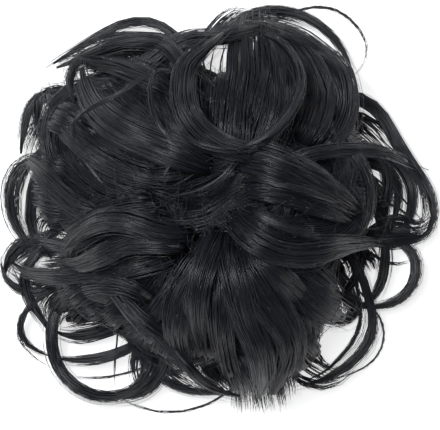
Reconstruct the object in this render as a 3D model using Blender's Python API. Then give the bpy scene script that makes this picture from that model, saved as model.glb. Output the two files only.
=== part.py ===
"""Top knot hairpiece: locks of curled false hair sewn in three rounds above an elastic loop.

The piece lies on a flat surface with the elastic loop down. +Z points up, and +Y is the
side that lies at the top when the piece is looked at from straight above. The tables and
the named sizes are in millimetres, and the meshes are made in metres.
"""
import math
from collections import namedtuple

import bmesh
import bpy
from mathutils import Matrix, Vector

MM = 0.001
GAP = 0.3
WELD = 0.00001

# Elastic loop, lying flat at the bottom
BAND_INNER_R = 22.0
BAND_OUTER_R = 25.0
BAND_HEIGHT = 7.0
BAND_SIDES = 32

# Rim round: a flaring bed of hair that is sewn down onto the elastic
BED_INNER_R = 21.0
BED_FLAT_R = 29.0
BED_R = 45.0
BED_BOTTOM = BAND_HEIGHT + GAP
BED_TOP = 13.2
BED_FLARE = 3.4

# Middle round: a full body of hair round the hollow for the wearer's own bun
BODY_BOTTOM = BED_TOP + GAP
BODY_WAIST_R = 30.0
BODY_R = 45.0
BODY_BELLY_Z = 26.0
BODY_SHOULDER_Z = 35.0
BODY_CROWN_R = 36.0
HOLLOW_R = 23.0
HOLLOW_TOP = 40.0
HOLLOW_ROUND = 7.0

# How far the middle locks sink into the body of hair
SINK = 1.6

# Crown round: a cap on a short neck that reaches down to the middle round
CAP_BOTTOM = 53.5
CAP_TOP = 60.0
CAP_R = 19.0
NECK_R = 9.0

HEAD_SIDES = 20

# The dome that the crown locks lie on: height at the middle, and how it falls to the rim
DOME_EDGE = 14.0
DOME_RISE = 46.0
DOME_REACH = 80.0
DOME_POWER = 0.75
DOME_LEAST = 0.02
MIDDLE_DROP = 9.0
MIDDLE_DROP_AT_RIM = 8.0

# Height of the rim round's locks, where they leave the bed and at the rim
RIM_NEAR = 13.5
RIM_FAR = 7.5

# Where a round's longer locks come out of its head: distance from the axis, and height
RIM_EXIT = (42.0, RIM_NEAR)
BODY_EXIT = (41.0, 32.5)
CAP_EXIT = (15.0, 57.0)

# Each lock starts at its visible root and ends at its tip. Turn is how far it bends on the
# way, in degrees and positive to the left; tighten moves the bend towards the tip, and sway
# adds a wave. Wide and deep are its size across and in height. Lift raises all of it above
# its round's own height, and drop lets its tip down.
Lock = namedtuple("Lock", "name from_x from_y to_x to_y turn tighten sway wide deep lift drop")

CROWN_LOCKS = [Lock(*row) for row in (
    # name           from_x from_y  to_x   to_y  turn tighten sway wide deep lift drop
    ("coil_left",      9.0,  12.0,   4.0,  61.0, -150,  0.0,   0,  9.0, 7.0,  1.0, 0.0),
    ("coil_right",     8.0,  13.0,  12.0,  60.0,  140,  0.0,   0,  4.0, 6.0,  1.0, 0.0),
    ("coil_floor",     6.0,  12.0,  15.0,  57.0,  -15,  0.0,   0, 16.0, 5.0, -1.0, 0.5),
    ("right_wave",     6.0,  15.0,  47.0,   6.0,  -28,  0.0,   0, 13.0, 6.0,  0.0, 3.0),
    ("right_valley",   6.0,   8.0,  46.0,  -3.0,   10,  0.0,   0, 11.0, 5.0, -1.0, 3.0),
    ("right_sweep",    3.0,   1.0,  50.0, -11.0,   95, -0.4,   0, 11.0, 6.0,  1.0, 3.0),
    ("fan_left",       2.0,  -5.0, -13.0, -45.0,   35,  0.0,   0, 12.0, 5.0,  0.0, 2.0),
    ("fan_centre",     3.0,  -6.0,   1.0, -50.0,   -5,  0.0,   0, 12.0, 6.0,  0.0, 2.0),
    ("fan_right",      4.0,  -6.0,  18.0, -62.0,  -25,  0.0,   0, 15.0, 6.0,  0.0, 4.0),
    ("fan_edge",       6.0,  -8.0,  24.0, -62.0,  -60,  0.0,   0,  9.0, 6.0,  0.0, 4.0),
    ("upper_left",    -4.0,  15.0, -50.0,  47.0,  -60,  0.0,   0, 15.0, 6.0,  0.0, 3.0),
    ("left_wave",    -12.0,  -9.0, -55.0, -16.0,   90,  0.0,   0, 10.0, 6.0,  0.0, 3.0),
    ("left_valley",   -6.0,   6.0, -50.0,   8.0,  -10,  0.0,   0, 12.0, 5.0, -1.0, 3.0),
)]

MIDDLE_LOCKS = [Lock(*row) for row in (
    # name           from_x from_y  to_x   to_y  turn tighten sway wide deep lift drop
    ("long_left",    -18.0,  11.0, -61.0,  43.0,  -60,  0.2,   0,  9.0, 6.0,  0.0, 0.0),
    ("roll_left",     -7.0,  56.0, -56.0,  52.0,   25,  0.0,   0,  8.0, 6.0,  0.0, 0.0),
    ("cross_left",   -18.0,  40.0, -50.0,  55.0,   50,  0.0,   0,  8.0, 5.0,  0.0, 0.0),
    ("upper_valley", -10.0,  19.0, -25.0,  50.0,   10,  0.0,   0, 13.0, 5.0, -1.0, 0.0),
    ("coil_under",     1.0,  20.0,  -6.0,  45.0,    0,  0.0,   0, 10.0, 5.0, -1.0, 0.0),
    ("top_bridge",   -17.0,  59.0,  18.0,  69.0,  -10,  0.0,   0,  7.0, 6.0,  0.0, 0.0),
    ("roll_outer",    14.0,  62.0,  32.0,  20.0, -165,  0.0,   0, 12.0, 6.0,  0.0, 0.0),
    ("roll_inner",    18.0,  55.0,  27.0,  24.0, -150,  0.0,   0, 12.0, 6.0,  0.0, 0.0),
    ("right_reach",   18.0,  14.0,  58.0,  20.0,  -10,  0.0,   0,  6.0, 5.0,  0.0, 0.0),
    ("lower_right",   12.0, -17.0,  38.0, -36.0,    0,  0.0,   0, 14.0, 6.0,  0.0, 0.0),
    ("lower_side",    19.0, -11.0,  47.0, -26.0,   15,  0.0,   0, 14.0, 6.0,  0.0, 0.0),
    ("diagonal",     -31.0, -34.0,   7.0, -65.0,   10,  0.0,  -8,  6.0, 6.0,  0.0, 0.0),
    ("lower_left",   -14.0, -16.0, -50.0, -25.0,   10,  0.0,   0, 10.0, 5.0,  0.0, 0.0),
    ("low_valley",    -8.0, -19.0, -26.0, -45.0,    0,  0.0,   0, 12.0, 5.0, -1.0, 0.0),
    ("left_streak",  -18.0, -12.0, -75.0, -21.0,   -5,  0.0,   0,  7.0, 5.0,  0.0, 2.0),
    ("left_reach",   -21.0,   1.0, -63.0,  -4.0,   -5,  0.0,   0, 12.0, 5.0,  0.0, 0.0),
    ("left_lock",    -40.0,   0.0, -72.0,  18.0,  -20,  0.0,   0,  9.0, 5.0,  0.0, 2.0),
)]

RIM_LOCKS = [Lock(*row) for row in (
    # name           from_x from_y  to_x   to_y  turn tighten sway wide deep lift drop
    ("big_ring",     -25.0, -30.0, -21.0, -56.0,  272,  0.0,   0,  4.0, 7.0,  2.0, 0.0),
    ("ring_shade",   -27.0, -32.0, -50.0, -34.0,  -10,  0.0,   0,  9.0, 5.0,  0.0, 0.0),
    ("ring_bar_high", -33.0, -39.0, -58.0, -41.0, -60,  0.0,   0,  2.5, 5.0, -1.0, 0.0),
    ("ring_bar_low", -30.0, -46.0, -58.0, -50.0,  -35,  0.0,   0,  2.5, 5.0, -1.0, 0.0),
    ("ring_return",  -32.0, -39.0, -40.0, -64.0,  -90,  0.0,   0,  4.0, 5.0,  0.0, 0.0),
    ("inner_diagonal", -27.0, -34.0, -20.0, -61.0, -10, 0.0,   0,  5.0, 5.0,  0.0, 0.0),
    ("bottom_loop",  -21.0, -59.0,   6.0, -65.0,   35,  0.0,   0,  3.0, 5.0,  0.0, 0.0),
    ("bottom_curl",  -12.0, -38.0,   8.0, -64.0,   70,  0.0,   0,  5.0, 5.0,  0.0, 0.0),
    ("far_left_loop", -60.0, -33.0, -57.0, -52.0, 175,  0.0,   0,  2.0, 4.0, -1.0, 0.0),
    ("left_tail",    -64.0, -18.0, -57.0, -37.0,   40,  0.0,   0,  4.0, 5.0,  0.0, 0.0),
    ("left_tuft",    -60.0, -11.0, -75.0, -19.0,   60,  0.0,   0,  5.0, 4.0,  0.0, 0.0),
    ("left_loop",    -58.0,  17.0, -62.0, -14.0,  150,  0.0,   0,  4.0, 7.0,  0.0, 0.0),
    ("left_inner",   -60.0,  18.0, -61.0, -15.0,   35,  0.0,   0,  5.0, 5.0,  0.0, 0.0),
    ("left_shade",   -38.0,  14.0, -63.0,  25.0,   -5,  0.0,   0, 10.0, 5.0,  0.0, 0.0),
    ("upper_left_tuft", -57.0, 36.0, -69.0, 22.0, 120,  0.0,   0,  2.0, 5.0,  0.0, 0.0),
    ("upper_left_loop", -16.0, 62.0, -51.0, 56.0, 100,  0.0,   0,  2.0, 5.0,  0.0, 0.0),
    ("top_right_loop", 10.0, 69.0,  46.0,  52.0,  -85,  0.0,   0,  2.5, 6.0,  0.0, 0.0),
    ("right_arc_high", 44.0, 41.0,  62.0,  22.0,  -70,  0.0,   0,  3.5, 6.0,  0.0, 0.0),
    ("right_arc",     44.0,  22.0,  68.0,  -9.0, -155,  0.0,   0,  4.0, 6.0,  0.0, 0.0),
    ("right_inner",   45.0,  19.0,  60.0, -11.0, -100,  0.0,   0,  4.0, 6.0,  0.0, 0.0),
    ("right_tangle",  58.0,  12.0,  64.0,  -6.0,  -60,  0.0,   0,  2.5, 5.0,  0.0, 0.0),
    ("right_under",   40.0,  -8.0,  72.0,  -7.0,   10,  0.0,   0,  5.0, 5.0,  0.0, 0.0),
    ("right_ring",    60.0,  -9.0,  49.0, -33.0, -195,  0.0,   0,  3.0, 7.0,  0.0, 0.0),
    ("ring_bar_right", 58.0, -11.0, 46.0, -32.0,  -50,  0.0,   0,  3.5, 5.0,  0.0, 0.0),
    ("ring_bar_inner", 50.0, -14.0, 42.0, -31.0,  -25,  0.0,   0,  4.0, 5.0,  0.0, 0.0),
    ("low_arc_inner", 48.0, -33.0,  29.0, -58.0,  -65,  0.0,   0,  2.0, 5.0,  0.0, 0.0),
    ("low_arc_outer", 55.0, -34.0,  29.0, -60.0,  -70,  0.0,   0,  2.5, 5.0,  0.0, 0.0),
)]

# Curls that roll over in an upright plane and tuck back under, round the sides
SideCurls = namedtuple("SideCurls", "count first_azimuth centre_r centre_z radius from_angle to_angle wide deep")
RIM_CURLS = SideCurls(7, 18.0, 46.0, 9.5, 6.5, 130.0, -110.0, 15.0, 3.4)
BODY_CURLS = SideCurls(8, 22.0, 46.0, 29.0, 7.5, 110.0, -90.0, 16.0, 3.6)
GOLDEN_ANGLE = 137.508

# How finely a lock is divided: a section at least every so many millimetres or degrees
SECTION_LENGTH = 14.0
SECTION_TURN = 36.0
FEWEST_SECTIONS = 4
PATH_STEPS = 48
LOCK_SIDES = 6
THIN_LOCK = 4.5
THIN_LOCK_SIDES = 4

# The hidden lead that joins a far root to its head
LEAD_STEPS = 10
LEAD_FREE = 3.0
LEAD_SWING = 0.4
LEAD_PULL = 3.0

# How a lock swells from its root and tapers to its tip, as shares of its full size
ROOT_SIZE = 0.75
TIP_SIZE = 0.5
SWELL_END = 0.2
TAPER_START = 0.7
DROP_POWER = 1.5

HAIR_COLOUR = (0.021, 0.021, 0.024)
HAIR_ROUGHNESS = 0.35
ELASTIC_COLOUR = (0.014, 0.014, 0.015)
ELASTIC_ROUGHNESS = 0.85
SMOOTH_BELOW = math.radians(50.0)


def crown_height(radius):
    """Height of the crown locks' middle line at a distance from the axis."""
    left = max(1.0 - (radius / DOME_REACH) ** 2, DOME_LEAST)
    return DOME_EDGE + DOME_RISE * left ** DOME_POWER


def middle_height(radius):
    """Height of the middle round's locks, a little under the crown locks."""
    share = min(radius / DOME_REACH, 1.0)
    return crown_height(radius) - MIDDLE_DROP + (MIDDLE_DROP - MIDDLE_DROP_AT_RIM) * share


def rim_height(radius):
    """Height of the rim round's locks."""
    share = min(radius / DOME_REACH, 1.0)
    return RIM_NEAR + (RIM_FAR - RIM_NEAR) * share


def plan_points(lock):
    """The lock's middle line seen from above, from root to tip."""
    points = [complex(0.0, 0.0)]
    for step in range(PATH_STEPS):
        t = (step + 0.5) / PATH_STEPS
        heading = math.radians(lock.turn) * (t + lock.tighten * (t * t - t))
        heading += math.radians(lock.sway) * math.sin(2.0 * math.pi * t)
        points.append(points[-1] + complex(math.cos(heading), math.sin(heading)))
    root = complex(lock.from_x, lock.from_y)
    tip = complex(lock.to_x, lock.to_y)
    scale = (tip - root) / points[-1]
    return [root + point * scale for point in points]


def lock_path(lock, height, head_exit):
    """The lock's middle line in space, with the hidden lead from its head to its root."""
    body = []
    for step, point in enumerate(plan_points(lock)):
        share = step / PATH_STEPS
        z = height(abs(point)) + lock.lift - lock.drop * share ** DROP_POWER
        body.append(Vector((point.real, point.imag, z)))
    root = body[0]
    exit_r, exit_z = head_exit
    if root.xy.length < exit_r + LEAD_FREE:
        return body
    heading = (body[1] - body[0]).normalized()
    swing = root.xy.angle_signed(heading.xy)
    outward = root.xy.normalized()
    outward.rotate(Matrix.Rotation(LEAD_SWING * swing, 2))
    start = Vector((outward.x * exit_r, outward.y * exit_r, exit_z))
    pull = (root - start).length / LEAD_PULL
    near = start + outward.to_3d() * pull
    far = root - heading * pull
    lead = []
    for step in range(LEAD_STEPS):
        t = step / LEAD_STEPS
        lead.append(start * (1 - t) ** 3 + near * 3 * t * (1 - t) ** 2
                    + far * 3 * t * t * (1 - t) + root * t ** 3)
    return lead + body


def side_curl_path(curls, index):
    """A curl that comes out of the head, rolls over and tucks back under itself."""
    azimuth = math.radians(curls.first_azimuth + 360.0 * index / curls.count)
    centre_r = curls.centre_r + math.sin(math.radians(GOLDEN_ANGLE * index))
    path = [(centre_r - curls.radius, curls.centre_z + curls.radius - 1.0)]
    for step in range(PATH_STEPS + 1):
        angle = math.radians(curls.from_angle + (curls.to_angle - curls.from_angle) * step / PATH_STEPS)
        path.append((centre_r + curls.radius * math.cos(angle), curls.centre_z + curls.radius * math.sin(angle)))
    return [Vector((r * math.cos(azimuth), r * math.sin(azimuth), z)) for r, z in path]


def spread_sections(path):
    """Picks points along a path, closer together where it bends."""
    cost = [0.0]
    for index in range(1, len(path)):
        step = path[index] - path[index - 1]
        share = step.length / SECTION_LENGTH
        if index + 1 < len(path):
            after = path[index + 1] - path[index]
            share += math.degrees(step.angle(after, 0.0)) / SECTION_TURN
        cost.append(cost[-1] + share)
    count = max(FEWEST_SECTIONS, math.ceil(cost[-1]))
    chosen = []
    at = 0
    for section in range(count + 1):
        target = cost[-1] * section / count
        while at < len(cost) - 2 and cost[at + 1] < target:
            at += 1
        span = cost[at + 1] - cost[at]
        share = min(1.0, (target - cost[at]) / span) if span > 0 else 0.0
        chosen.append(path[at].lerp(path[at + 1], share))
    return chosen


def lock_size(share):
    """Size of a lock at a share of its length, against its full size."""
    if share < SWELL_END:
        return ROOT_SIZE + (1.0 - ROOT_SIZE) * share / SWELL_END
    if share > TAPER_START:
        return 1.0 - (1.0 - TIP_SIZE) * (share - TAPER_START) / (1.0 - TAPER_START)
    return 1.0


def clear_scene():
    for old in list(bpy.data.objects):
        bpy.data.objects.remove(old, do_unlink=True)


def new_collection(name, parent):
    collection = bpy.data.collections.new(name)
    parent.children.link(collection)
    return collection


def mesh_object(name, bm, collection):
    """Makes an object of a bmesh, smooth but for its sharp edges."""
    mesh = bpy.data.meshes.new(name)
    bm.to_mesh(mesh)
    bm.free()
    mesh.shade_smooth()
    mesh.set_sharp_from_angle(angle=SMOOTH_BELOW)
    made = bpy.data.objects.new(name, mesh)
    collection.objects.link(made)
    return made


def section_curve(name, wide, deep, sides, collection):
    """A lock's cross-section, an ellipse of a few sides."""
    curve = bpy.data.curves.new(name, "CURVE")
    curve.dimensions = "2D"
    spline = curve.splines.new("POLY")
    spline.points.add(sides - 1)
    spline.use_cyclic_u = True
    for index, point in enumerate(spline.points):
        angle = 2.0 * math.pi * index / sides
        x = 0.5 * wide * math.cos(angle) * MM
        y = 0.5 * deep * math.sin(angle) * MM
        point.co = (x, y, 0.0, 1.0)
    made = bpy.data.objects.new(name, curve)
    collection.objects.link(made)
    return made


def lock_object(name, path, wide, deep, twist, collection):
    """One lock: an elliptical tube along its path, made a closed mesh."""
    sides = THIN_LOCK_SIDES if wide < THIN_LOCK else LOCK_SIDES
    section = section_curve(name + "_section", wide, deep, sides, collection)
    curve = bpy.data.curves.new(name, "CURVE")
    curve.dimensions = "3D"
    curve.twist_mode = twist
    curve.bevel_mode = "OBJECT"
    curve.bevel_object = section
    curve.use_fill_caps = True
    places = spread_sections(path)
    spline = curve.splines.new("POLY")
    spline.points.add(len(places) - 1)
    for index, (point, place) in enumerate(zip(spline.points, places)):
        point.co = (place.x * MM, place.y * MM, place.z * MM, 1.0)
        point.radius = lock_size(index / (len(places) - 1))
    swept = bpy.data.objects.new(name, curve)
    collection.objects.link(swept)
    evaluated = swept.evaluated_get(bpy.context.evaluated_depsgraph_get())
    mesh = bpy.data.meshes.new_from_object(evaluated)
    bm = bmesh.new()
    bm.from_mesh(mesh)
    bmesh.ops.remove_doubles(bm, verts=bm.verts, dist=WELD)
    bmesh.ops.recalc_face_normals(bm, faces=bm.faces)
    bpy.data.objects.remove(swept, do_unlink=True)
    bpy.data.objects.remove(section, do_unlink=True)
    return mesh_object(name, bm, collection)


def turned_object(name, profile, sides, collection):
    """A closed ring or cap: a profile of (radius, height) turned round the axis."""
    bm = bmesh.new()
    corners = [bm.verts.new((r * MM, 0.0, z * MM)) for r, z in profile]
    edges = [bm.edges.new((corners[k - 1], corners[k])) for k in range(len(corners))]
    bmesh.ops.spin(bm, geom=corners + edges, cent=(0.0, 0.0, 0.0), axis=(0.0, 0.0, 1.0),
                   angle=2.0 * math.pi, steps=sides, use_merge=True)
    bmesh.ops.remove_doubles(bm, verts=bm.verts, dist=WELD)
    on_axis = [edge for edge in bm.edges if not edge.link_faces]
    bmesh.ops.delete(bm, geom=on_axis, context="EDGES")
    bmesh.ops.recalc_face_normals(bm, faces=bm.faces)
    return mesh_object(name, bm, collection)


def plain_material(name, colour, roughness):
    material = bpy.data.materials.new(name)
    material.use_nodes = True
    shader = material.node_tree.nodes["Principled BSDF"]
    shader.inputs["Base Color"].default_value = (*colour, 1.0)
    shader.inputs["Roughness"].default_value = roughness
    shader.inputs["Metallic"].default_value = 0.0
    return material


def hair_round(name, head, table, height, head_exit, curls, collection, guides):
    """Fuses one round's locks and side curls with the head that they are sewn to."""
    own = new_collection(name + "_guides", guides)
    for lock in table:
        path = lock_path(lock, height, head_exit)
        lock_object(lock.name, path, lock.wide, lock.deep, "Z_UP", own)
    for index in range(curls.count if curls else 0):
        path = side_curl_path(curls, index)
        lock_object(f"{name}_curl_{index}", path, curls.wide, curls.deep, "MINIMUM", own)
    for guide in own.objects:
        guide.hide_render = True
        guide.display_type = "WIRE"
    join = head.modifiers.new("join_locks", "BOOLEAN")
    join.operation = "UNION"
    join.solver = "EXACT"
    join.operand_type = "COLLECTION"
    join.collection = own
    head.data.materials.append(plain_material(name + "_hair", HAIR_COLOUR, HAIR_ROUGHNESS))


def elastic_band(collection):
    band = turned_object("elastic_band", [
        (BAND_INNER_R, 0.0), (BAND_OUTER_R, 0.0),
        (BAND_OUTER_R, BAND_HEIGHT), (BAND_INNER_R, BAND_HEIGHT)], BAND_SIDES, collection)
    band.data.materials.append(plain_material("woven_elastic", ELASTIC_COLOUR, ELASTIC_ROUGHNESS))


def rim_locks(collection, guides):
    bed = turned_object("rim_locks", [
        (BED_INNER_R, BED_BOTTOM), (BED_FLAT_R, BED_BOTTOM), (BED_R - 2.0, BED_BOTTOM + BED_FLARE),
        (BED_R, BED_TOP), (BED_R - 3.0, BED_TOP + BED_FLARE), (BED_FLAT_R + 2.0, BED_TOP),
        (BED_INNER_R, BED_TOP)], HEAD_SIDES, collection)
    hair_round("rim", bed, RIM_LOCKS, rim_height, RIM_EXIT, RIM_CURLS, collection, guides)


def middle_locks(collection, guides):
    body = turned_object("middle_locks", [
        (HOLLOW_R, BODY_BOTTOM), (BODY_WAIST_R, BODY_BOTTOM),
        (BODY_R - 5.0, 0.5 * (BODY_BOTTOM + BODY_BELLY_Z)), (BODY_R, BODY_BELLY_Z),
        (BODY_R - 1.0, BODY_SHOULDER_Z), (BODY_CROWN_R, middle_height(BODY_CROWN_R) - SINK),
        (HOLLOW_R, middle_height(HOLLOW_R) - SINK), (0.0, middle_height(0.0) - SINK),
        (0.0, HOLLOW_TOP), (HOLLOW_R - HOLLOW_ROUND, HOLLOW_TOP - 1.0),
        (HOLLOW_R, HOLLOW_TOP - HOLLOW_ROUND)], HEAD_SIDES, collection)
    hair_round("middle", body, MIDDLE_LOCKS, middle_height, BODY_EXIT, BODY_CURLS, collection, guides)


def crown_locks(collection, guides):
    neck_bottom = middle_height(0.0) - SINK + GAP
    cap = turned_object("crown_locks", [
        (0.0, neck_bottom), (NECK_R, neck_bottom), (NECK_R, CAP_BOTTOM), (CAP_R - 4.0, CAP_BOTTOM),
        (CAP_R, CAP_BOTTOM + 2.0), (CAP_R - 3.0, CAP_TOP - 1.0), (0.0, CAP_TOP)], HEAD_SIDES, collection)
    hair_round("crown", cap, CROWN_LOCKS, crown_height, CAP_EXIT, None, collection, guides)


def centre_on_origin():
    """Moves every mesh sideways, so that the middle of the whole stands on the origin."""
    corners = [vertex.co for made in bpy.data.objects for vertex in made.data.vertices]
    middle_x = 0.5 * (min(co.x for co in corners) + max(co.x for co in corners))
    middle_y = 0.5 * (min(co.y for co in corners) + max(co.y for co in corners))
    for made in bpy.data.objects:
        made.data.transform(Matrix.Translation((-middle_x, -middle_y, 0.0)))


clear_scene()
hairpiece = new_collection("top_knot_hairpiece", bpy.context.scene.collection)
lock_guides = new_collection("lock_guides", bpy.context.scene.collection)
elastic_band(hairpiece)
rim_locks(hairpiece, lock_guides)
middle_locks(hairpiece, lock_guides)
crown_locks(hairpiece, lock_guides)
centre_on_origin()
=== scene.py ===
"""Top knot hairpiece: rounds of curled false hair sewn above an elastic loop, lying on a pale floor."""
import math
from collections import namedtuple

import bmesh
import bpy
import numpy as np
from mathutils import Matrix, Vector


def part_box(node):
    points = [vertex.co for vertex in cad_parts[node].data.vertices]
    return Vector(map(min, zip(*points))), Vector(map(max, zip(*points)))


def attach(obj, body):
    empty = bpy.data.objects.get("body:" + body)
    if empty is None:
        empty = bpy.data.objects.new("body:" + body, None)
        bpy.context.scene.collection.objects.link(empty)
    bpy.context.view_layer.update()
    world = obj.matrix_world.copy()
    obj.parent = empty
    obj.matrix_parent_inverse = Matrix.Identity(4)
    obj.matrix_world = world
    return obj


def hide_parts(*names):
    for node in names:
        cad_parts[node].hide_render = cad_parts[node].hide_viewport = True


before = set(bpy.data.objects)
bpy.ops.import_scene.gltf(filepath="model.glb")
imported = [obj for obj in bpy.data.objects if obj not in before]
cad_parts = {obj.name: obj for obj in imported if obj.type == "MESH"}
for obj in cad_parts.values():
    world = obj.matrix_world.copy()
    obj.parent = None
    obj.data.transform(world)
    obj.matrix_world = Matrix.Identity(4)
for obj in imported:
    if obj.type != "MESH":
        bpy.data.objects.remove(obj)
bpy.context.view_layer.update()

# Elastic loop: a corded tape of rubber threads woven over with black yarn, its ends butted and sewn.
# It lies flat at the bottom, and the lowest round of hair is sewn to its upper edge.
MM = 0.001
band_low, band_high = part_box("elastic_band")
band_middle = Vector((0.5 * (band_low.x + band_high.x), 0.5 * (band_low.y + band_high.y), 0.0))
BAND_OUTER_R = 0.5 * (band_high.x - band_low.x)
BAND_WALL = 3.0 * MM
BAND_HEIGHT = band_high.z - band_low.z
BAND_CORDS = 6
CORD_DEPTH = 0.28 * MM
CORD_POINTS = 5
BAND_STEPS = 144
BAND_THREADS = 220.0
PICK_RADIANS_PER_M = 2600.0
MERGE_MM = 0.001


def shaded(name, bm, material, place=Matrix.Identity(4)):
    """Makes a smooth-shaded object of a bmesh, with its place in its mesh."""
    mesh = bpy.data.meshes.new(name)
    bm.to_mesh(mesh)
    bm.free()
    mesh.transform(place)
    mesh.shade_smooth()
    mesh.materials.append(material)
    return linked(name, mesh)


def linked(name, data):
    """Puts a new object with this data in the scene."""
    made = bpy.data.objects.new(name, data)
    bpy.context.scene.collection.objects.link(made)
    return made


def dressed(piece, node):
    """Lets a piece stand for the node that it covers."""
    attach(piece, "root")
    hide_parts(node)


def spun(bm, profile, steps, merge):
    """Turns a closed profile of (radius, height) round the axis into a skin that points outwards."""
    corners = [bm.verts.new((radius, 0.0, height)) for radius, height in profile]
    edges = [bm.edges.new((corners[k - 1], corners[k])) for k in range(len(corners))]
    bmesh.ops.spin(bm, geom=corners + edges, cent=(0.0, 0.0, 0.0), axis=(0.0, 0.0, 1.0),
                   angle=2.0 * math.pi, steps=steps, use_merge=True)
    bmesh.ops.remove_doubles(bm, verts=bm.verts, dist=merge)
    on_axis = [edge for edge in bm.edges if not edge.link_faces]
    bmesh.ops.delete(bm, geom=on_axis, context="EDGES")
    bmesh.ops.recalc_face_normals(bm, faces=bm.faces)


def new_finish(name, values):
    """A new material and its shader, with plain values in the shader's sockets."""
    material = bpy.data.materials.new(name)
    material.use_nodes = True
    shader = material.node_tree.nodes["Principled BSDF"]
    for socket, value in values.items():
        shader.inputs[socket].default_value = value
    return material, shader


def worked_out(tree, operation, *terms):
    """The result of a math node, whose terms are sockets or plain numbers."""
    node = tree.nodes.new("ShaderNodeMath")
    node.operation = operation
    for socket, term in zip(node.inputs, terms):
        if isinstance(term, bpy.types.NodeSocket):
            tree.links.new(term, socket)
        else:
            socket.default_value = term
    return node.outputs["Value"]


def ranged(tree, value, low, high, from_low=0.0, from_high=1.0):
    """A value between from_low and from_high, moved to lie between low and high."""
    node = tree.nodes.new("ShaderNodeMapRange")
    limits = {"From Min": from_low, "From Max": from_high, "To Min": low, "To Max": high}
    for socket, limit in limits.items():
        node.inputs[socket].default_value = limit
    tree.links.new(value, node.inputs["Value"])
    return node.outputs["Result"]


def raised(tree, shader, height, strength, depth):
    """Gives a shader a fine relief."""
    relief = tree.nodes.new("ShaderNodeBump")
    relief.inputs["Strength"].default_value = strength
    relief.inputs["Distance"].default_value = depth
    tree.links.new(height, relief.inputs["Height"])
    tree.links.new(relief.outputs["Normal"], shader.inputs["Normal"])


def woven_elastic():
    """Matt black yarn, woven in fine picks round the loop, with painted shade in the dips of the weave."""
    material, shader = new_finish("woven_elastic", {"Specular IOR Level": 0.3, "Sheen Weight": 0.25})
    tree = material.node_tree
    coords = tree.nodes.new("ShaderNodeTexCoord")
    centred = tree.nodes.new("ShaderNodeMapping")
    centred.inputs["Location"].default_value = tuple(-band_middle)
    tree.links.new(coords.outputs["Object"], centred.inputs["Vector"])
    parts = tree.nodes.new("ShaderNodeSeparateXYZ")
    tree.links.new(centred.outputs["Vector"], parts.inputs["Vector"])
    turn = worked_out(tree, "ARCTAN2", parts.outputs["Y"], parts.outputs["X"])
    threads = worked_out(tree, "SINE", worked_out(tree, "MULTIPLY", turn, BAND_THREADS))
    rise = worked_out(tree, "MULTIPLY", parts.outputs["Z"], PICK_RADIANS_PER_M)
    weave = worked_out(tree, "MULTIPLY_ADD", threads, worked_out(tree, "SINE", rise), 0.5)
    # The yarn's colour follows the weave's relief and is darker in its dips: painted shade.
    shades = tree.nodes.new("ShaderNodeValToRGB")
    shades.color_ramp.elements[0].color = (0.007, 0.007, 0.008, 1.0)
    shades.color_ramp.elements[1].color = (0.030, 0.030, 0.032, 1.0)
    tree.links.new(weave, shades.inputs["Fac"])
    tree.links.new(shades.outputs["Color"], shader.inputs["Base Color"])
    tree.links.new(ranged(tree, weave, 0.92, 0.7), shader.inputs["Roughness"])
    raised(tree, shader, weave, 0.5, 0.1 * MM)
    return material


def corded_wall(radius, outward):
    """Points up one face of the tape, bulging over each cord."""
    points = []
    for step in range(BAND_CORDS * CORD_POINTS + 1):
        bulge = abs(math.sin(math.pi * step / CORD_POINTS))
        height = BAND_HEIGHT * step / (BAND_CORDS * CORD_POINTS)
        points.append((radius - outward * CORD_DEPTH * (1.0 - bulge), height))
    return points


tape = corded_wall(BAND_OUTER_R, 1.0)
tape += reversed(corded_wall(BAND_OUTER_R - BAND_WALL, -1.0))
loop = bmesh.new()
spun(loop, tape, BAND_STEPS, MERGE_MM * MM)
woven_band = shaded("woven_band", loop, woven_elastic(), Matrix.Translation(band_middle))
dressed(woven_band, "elastic_band")

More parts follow.
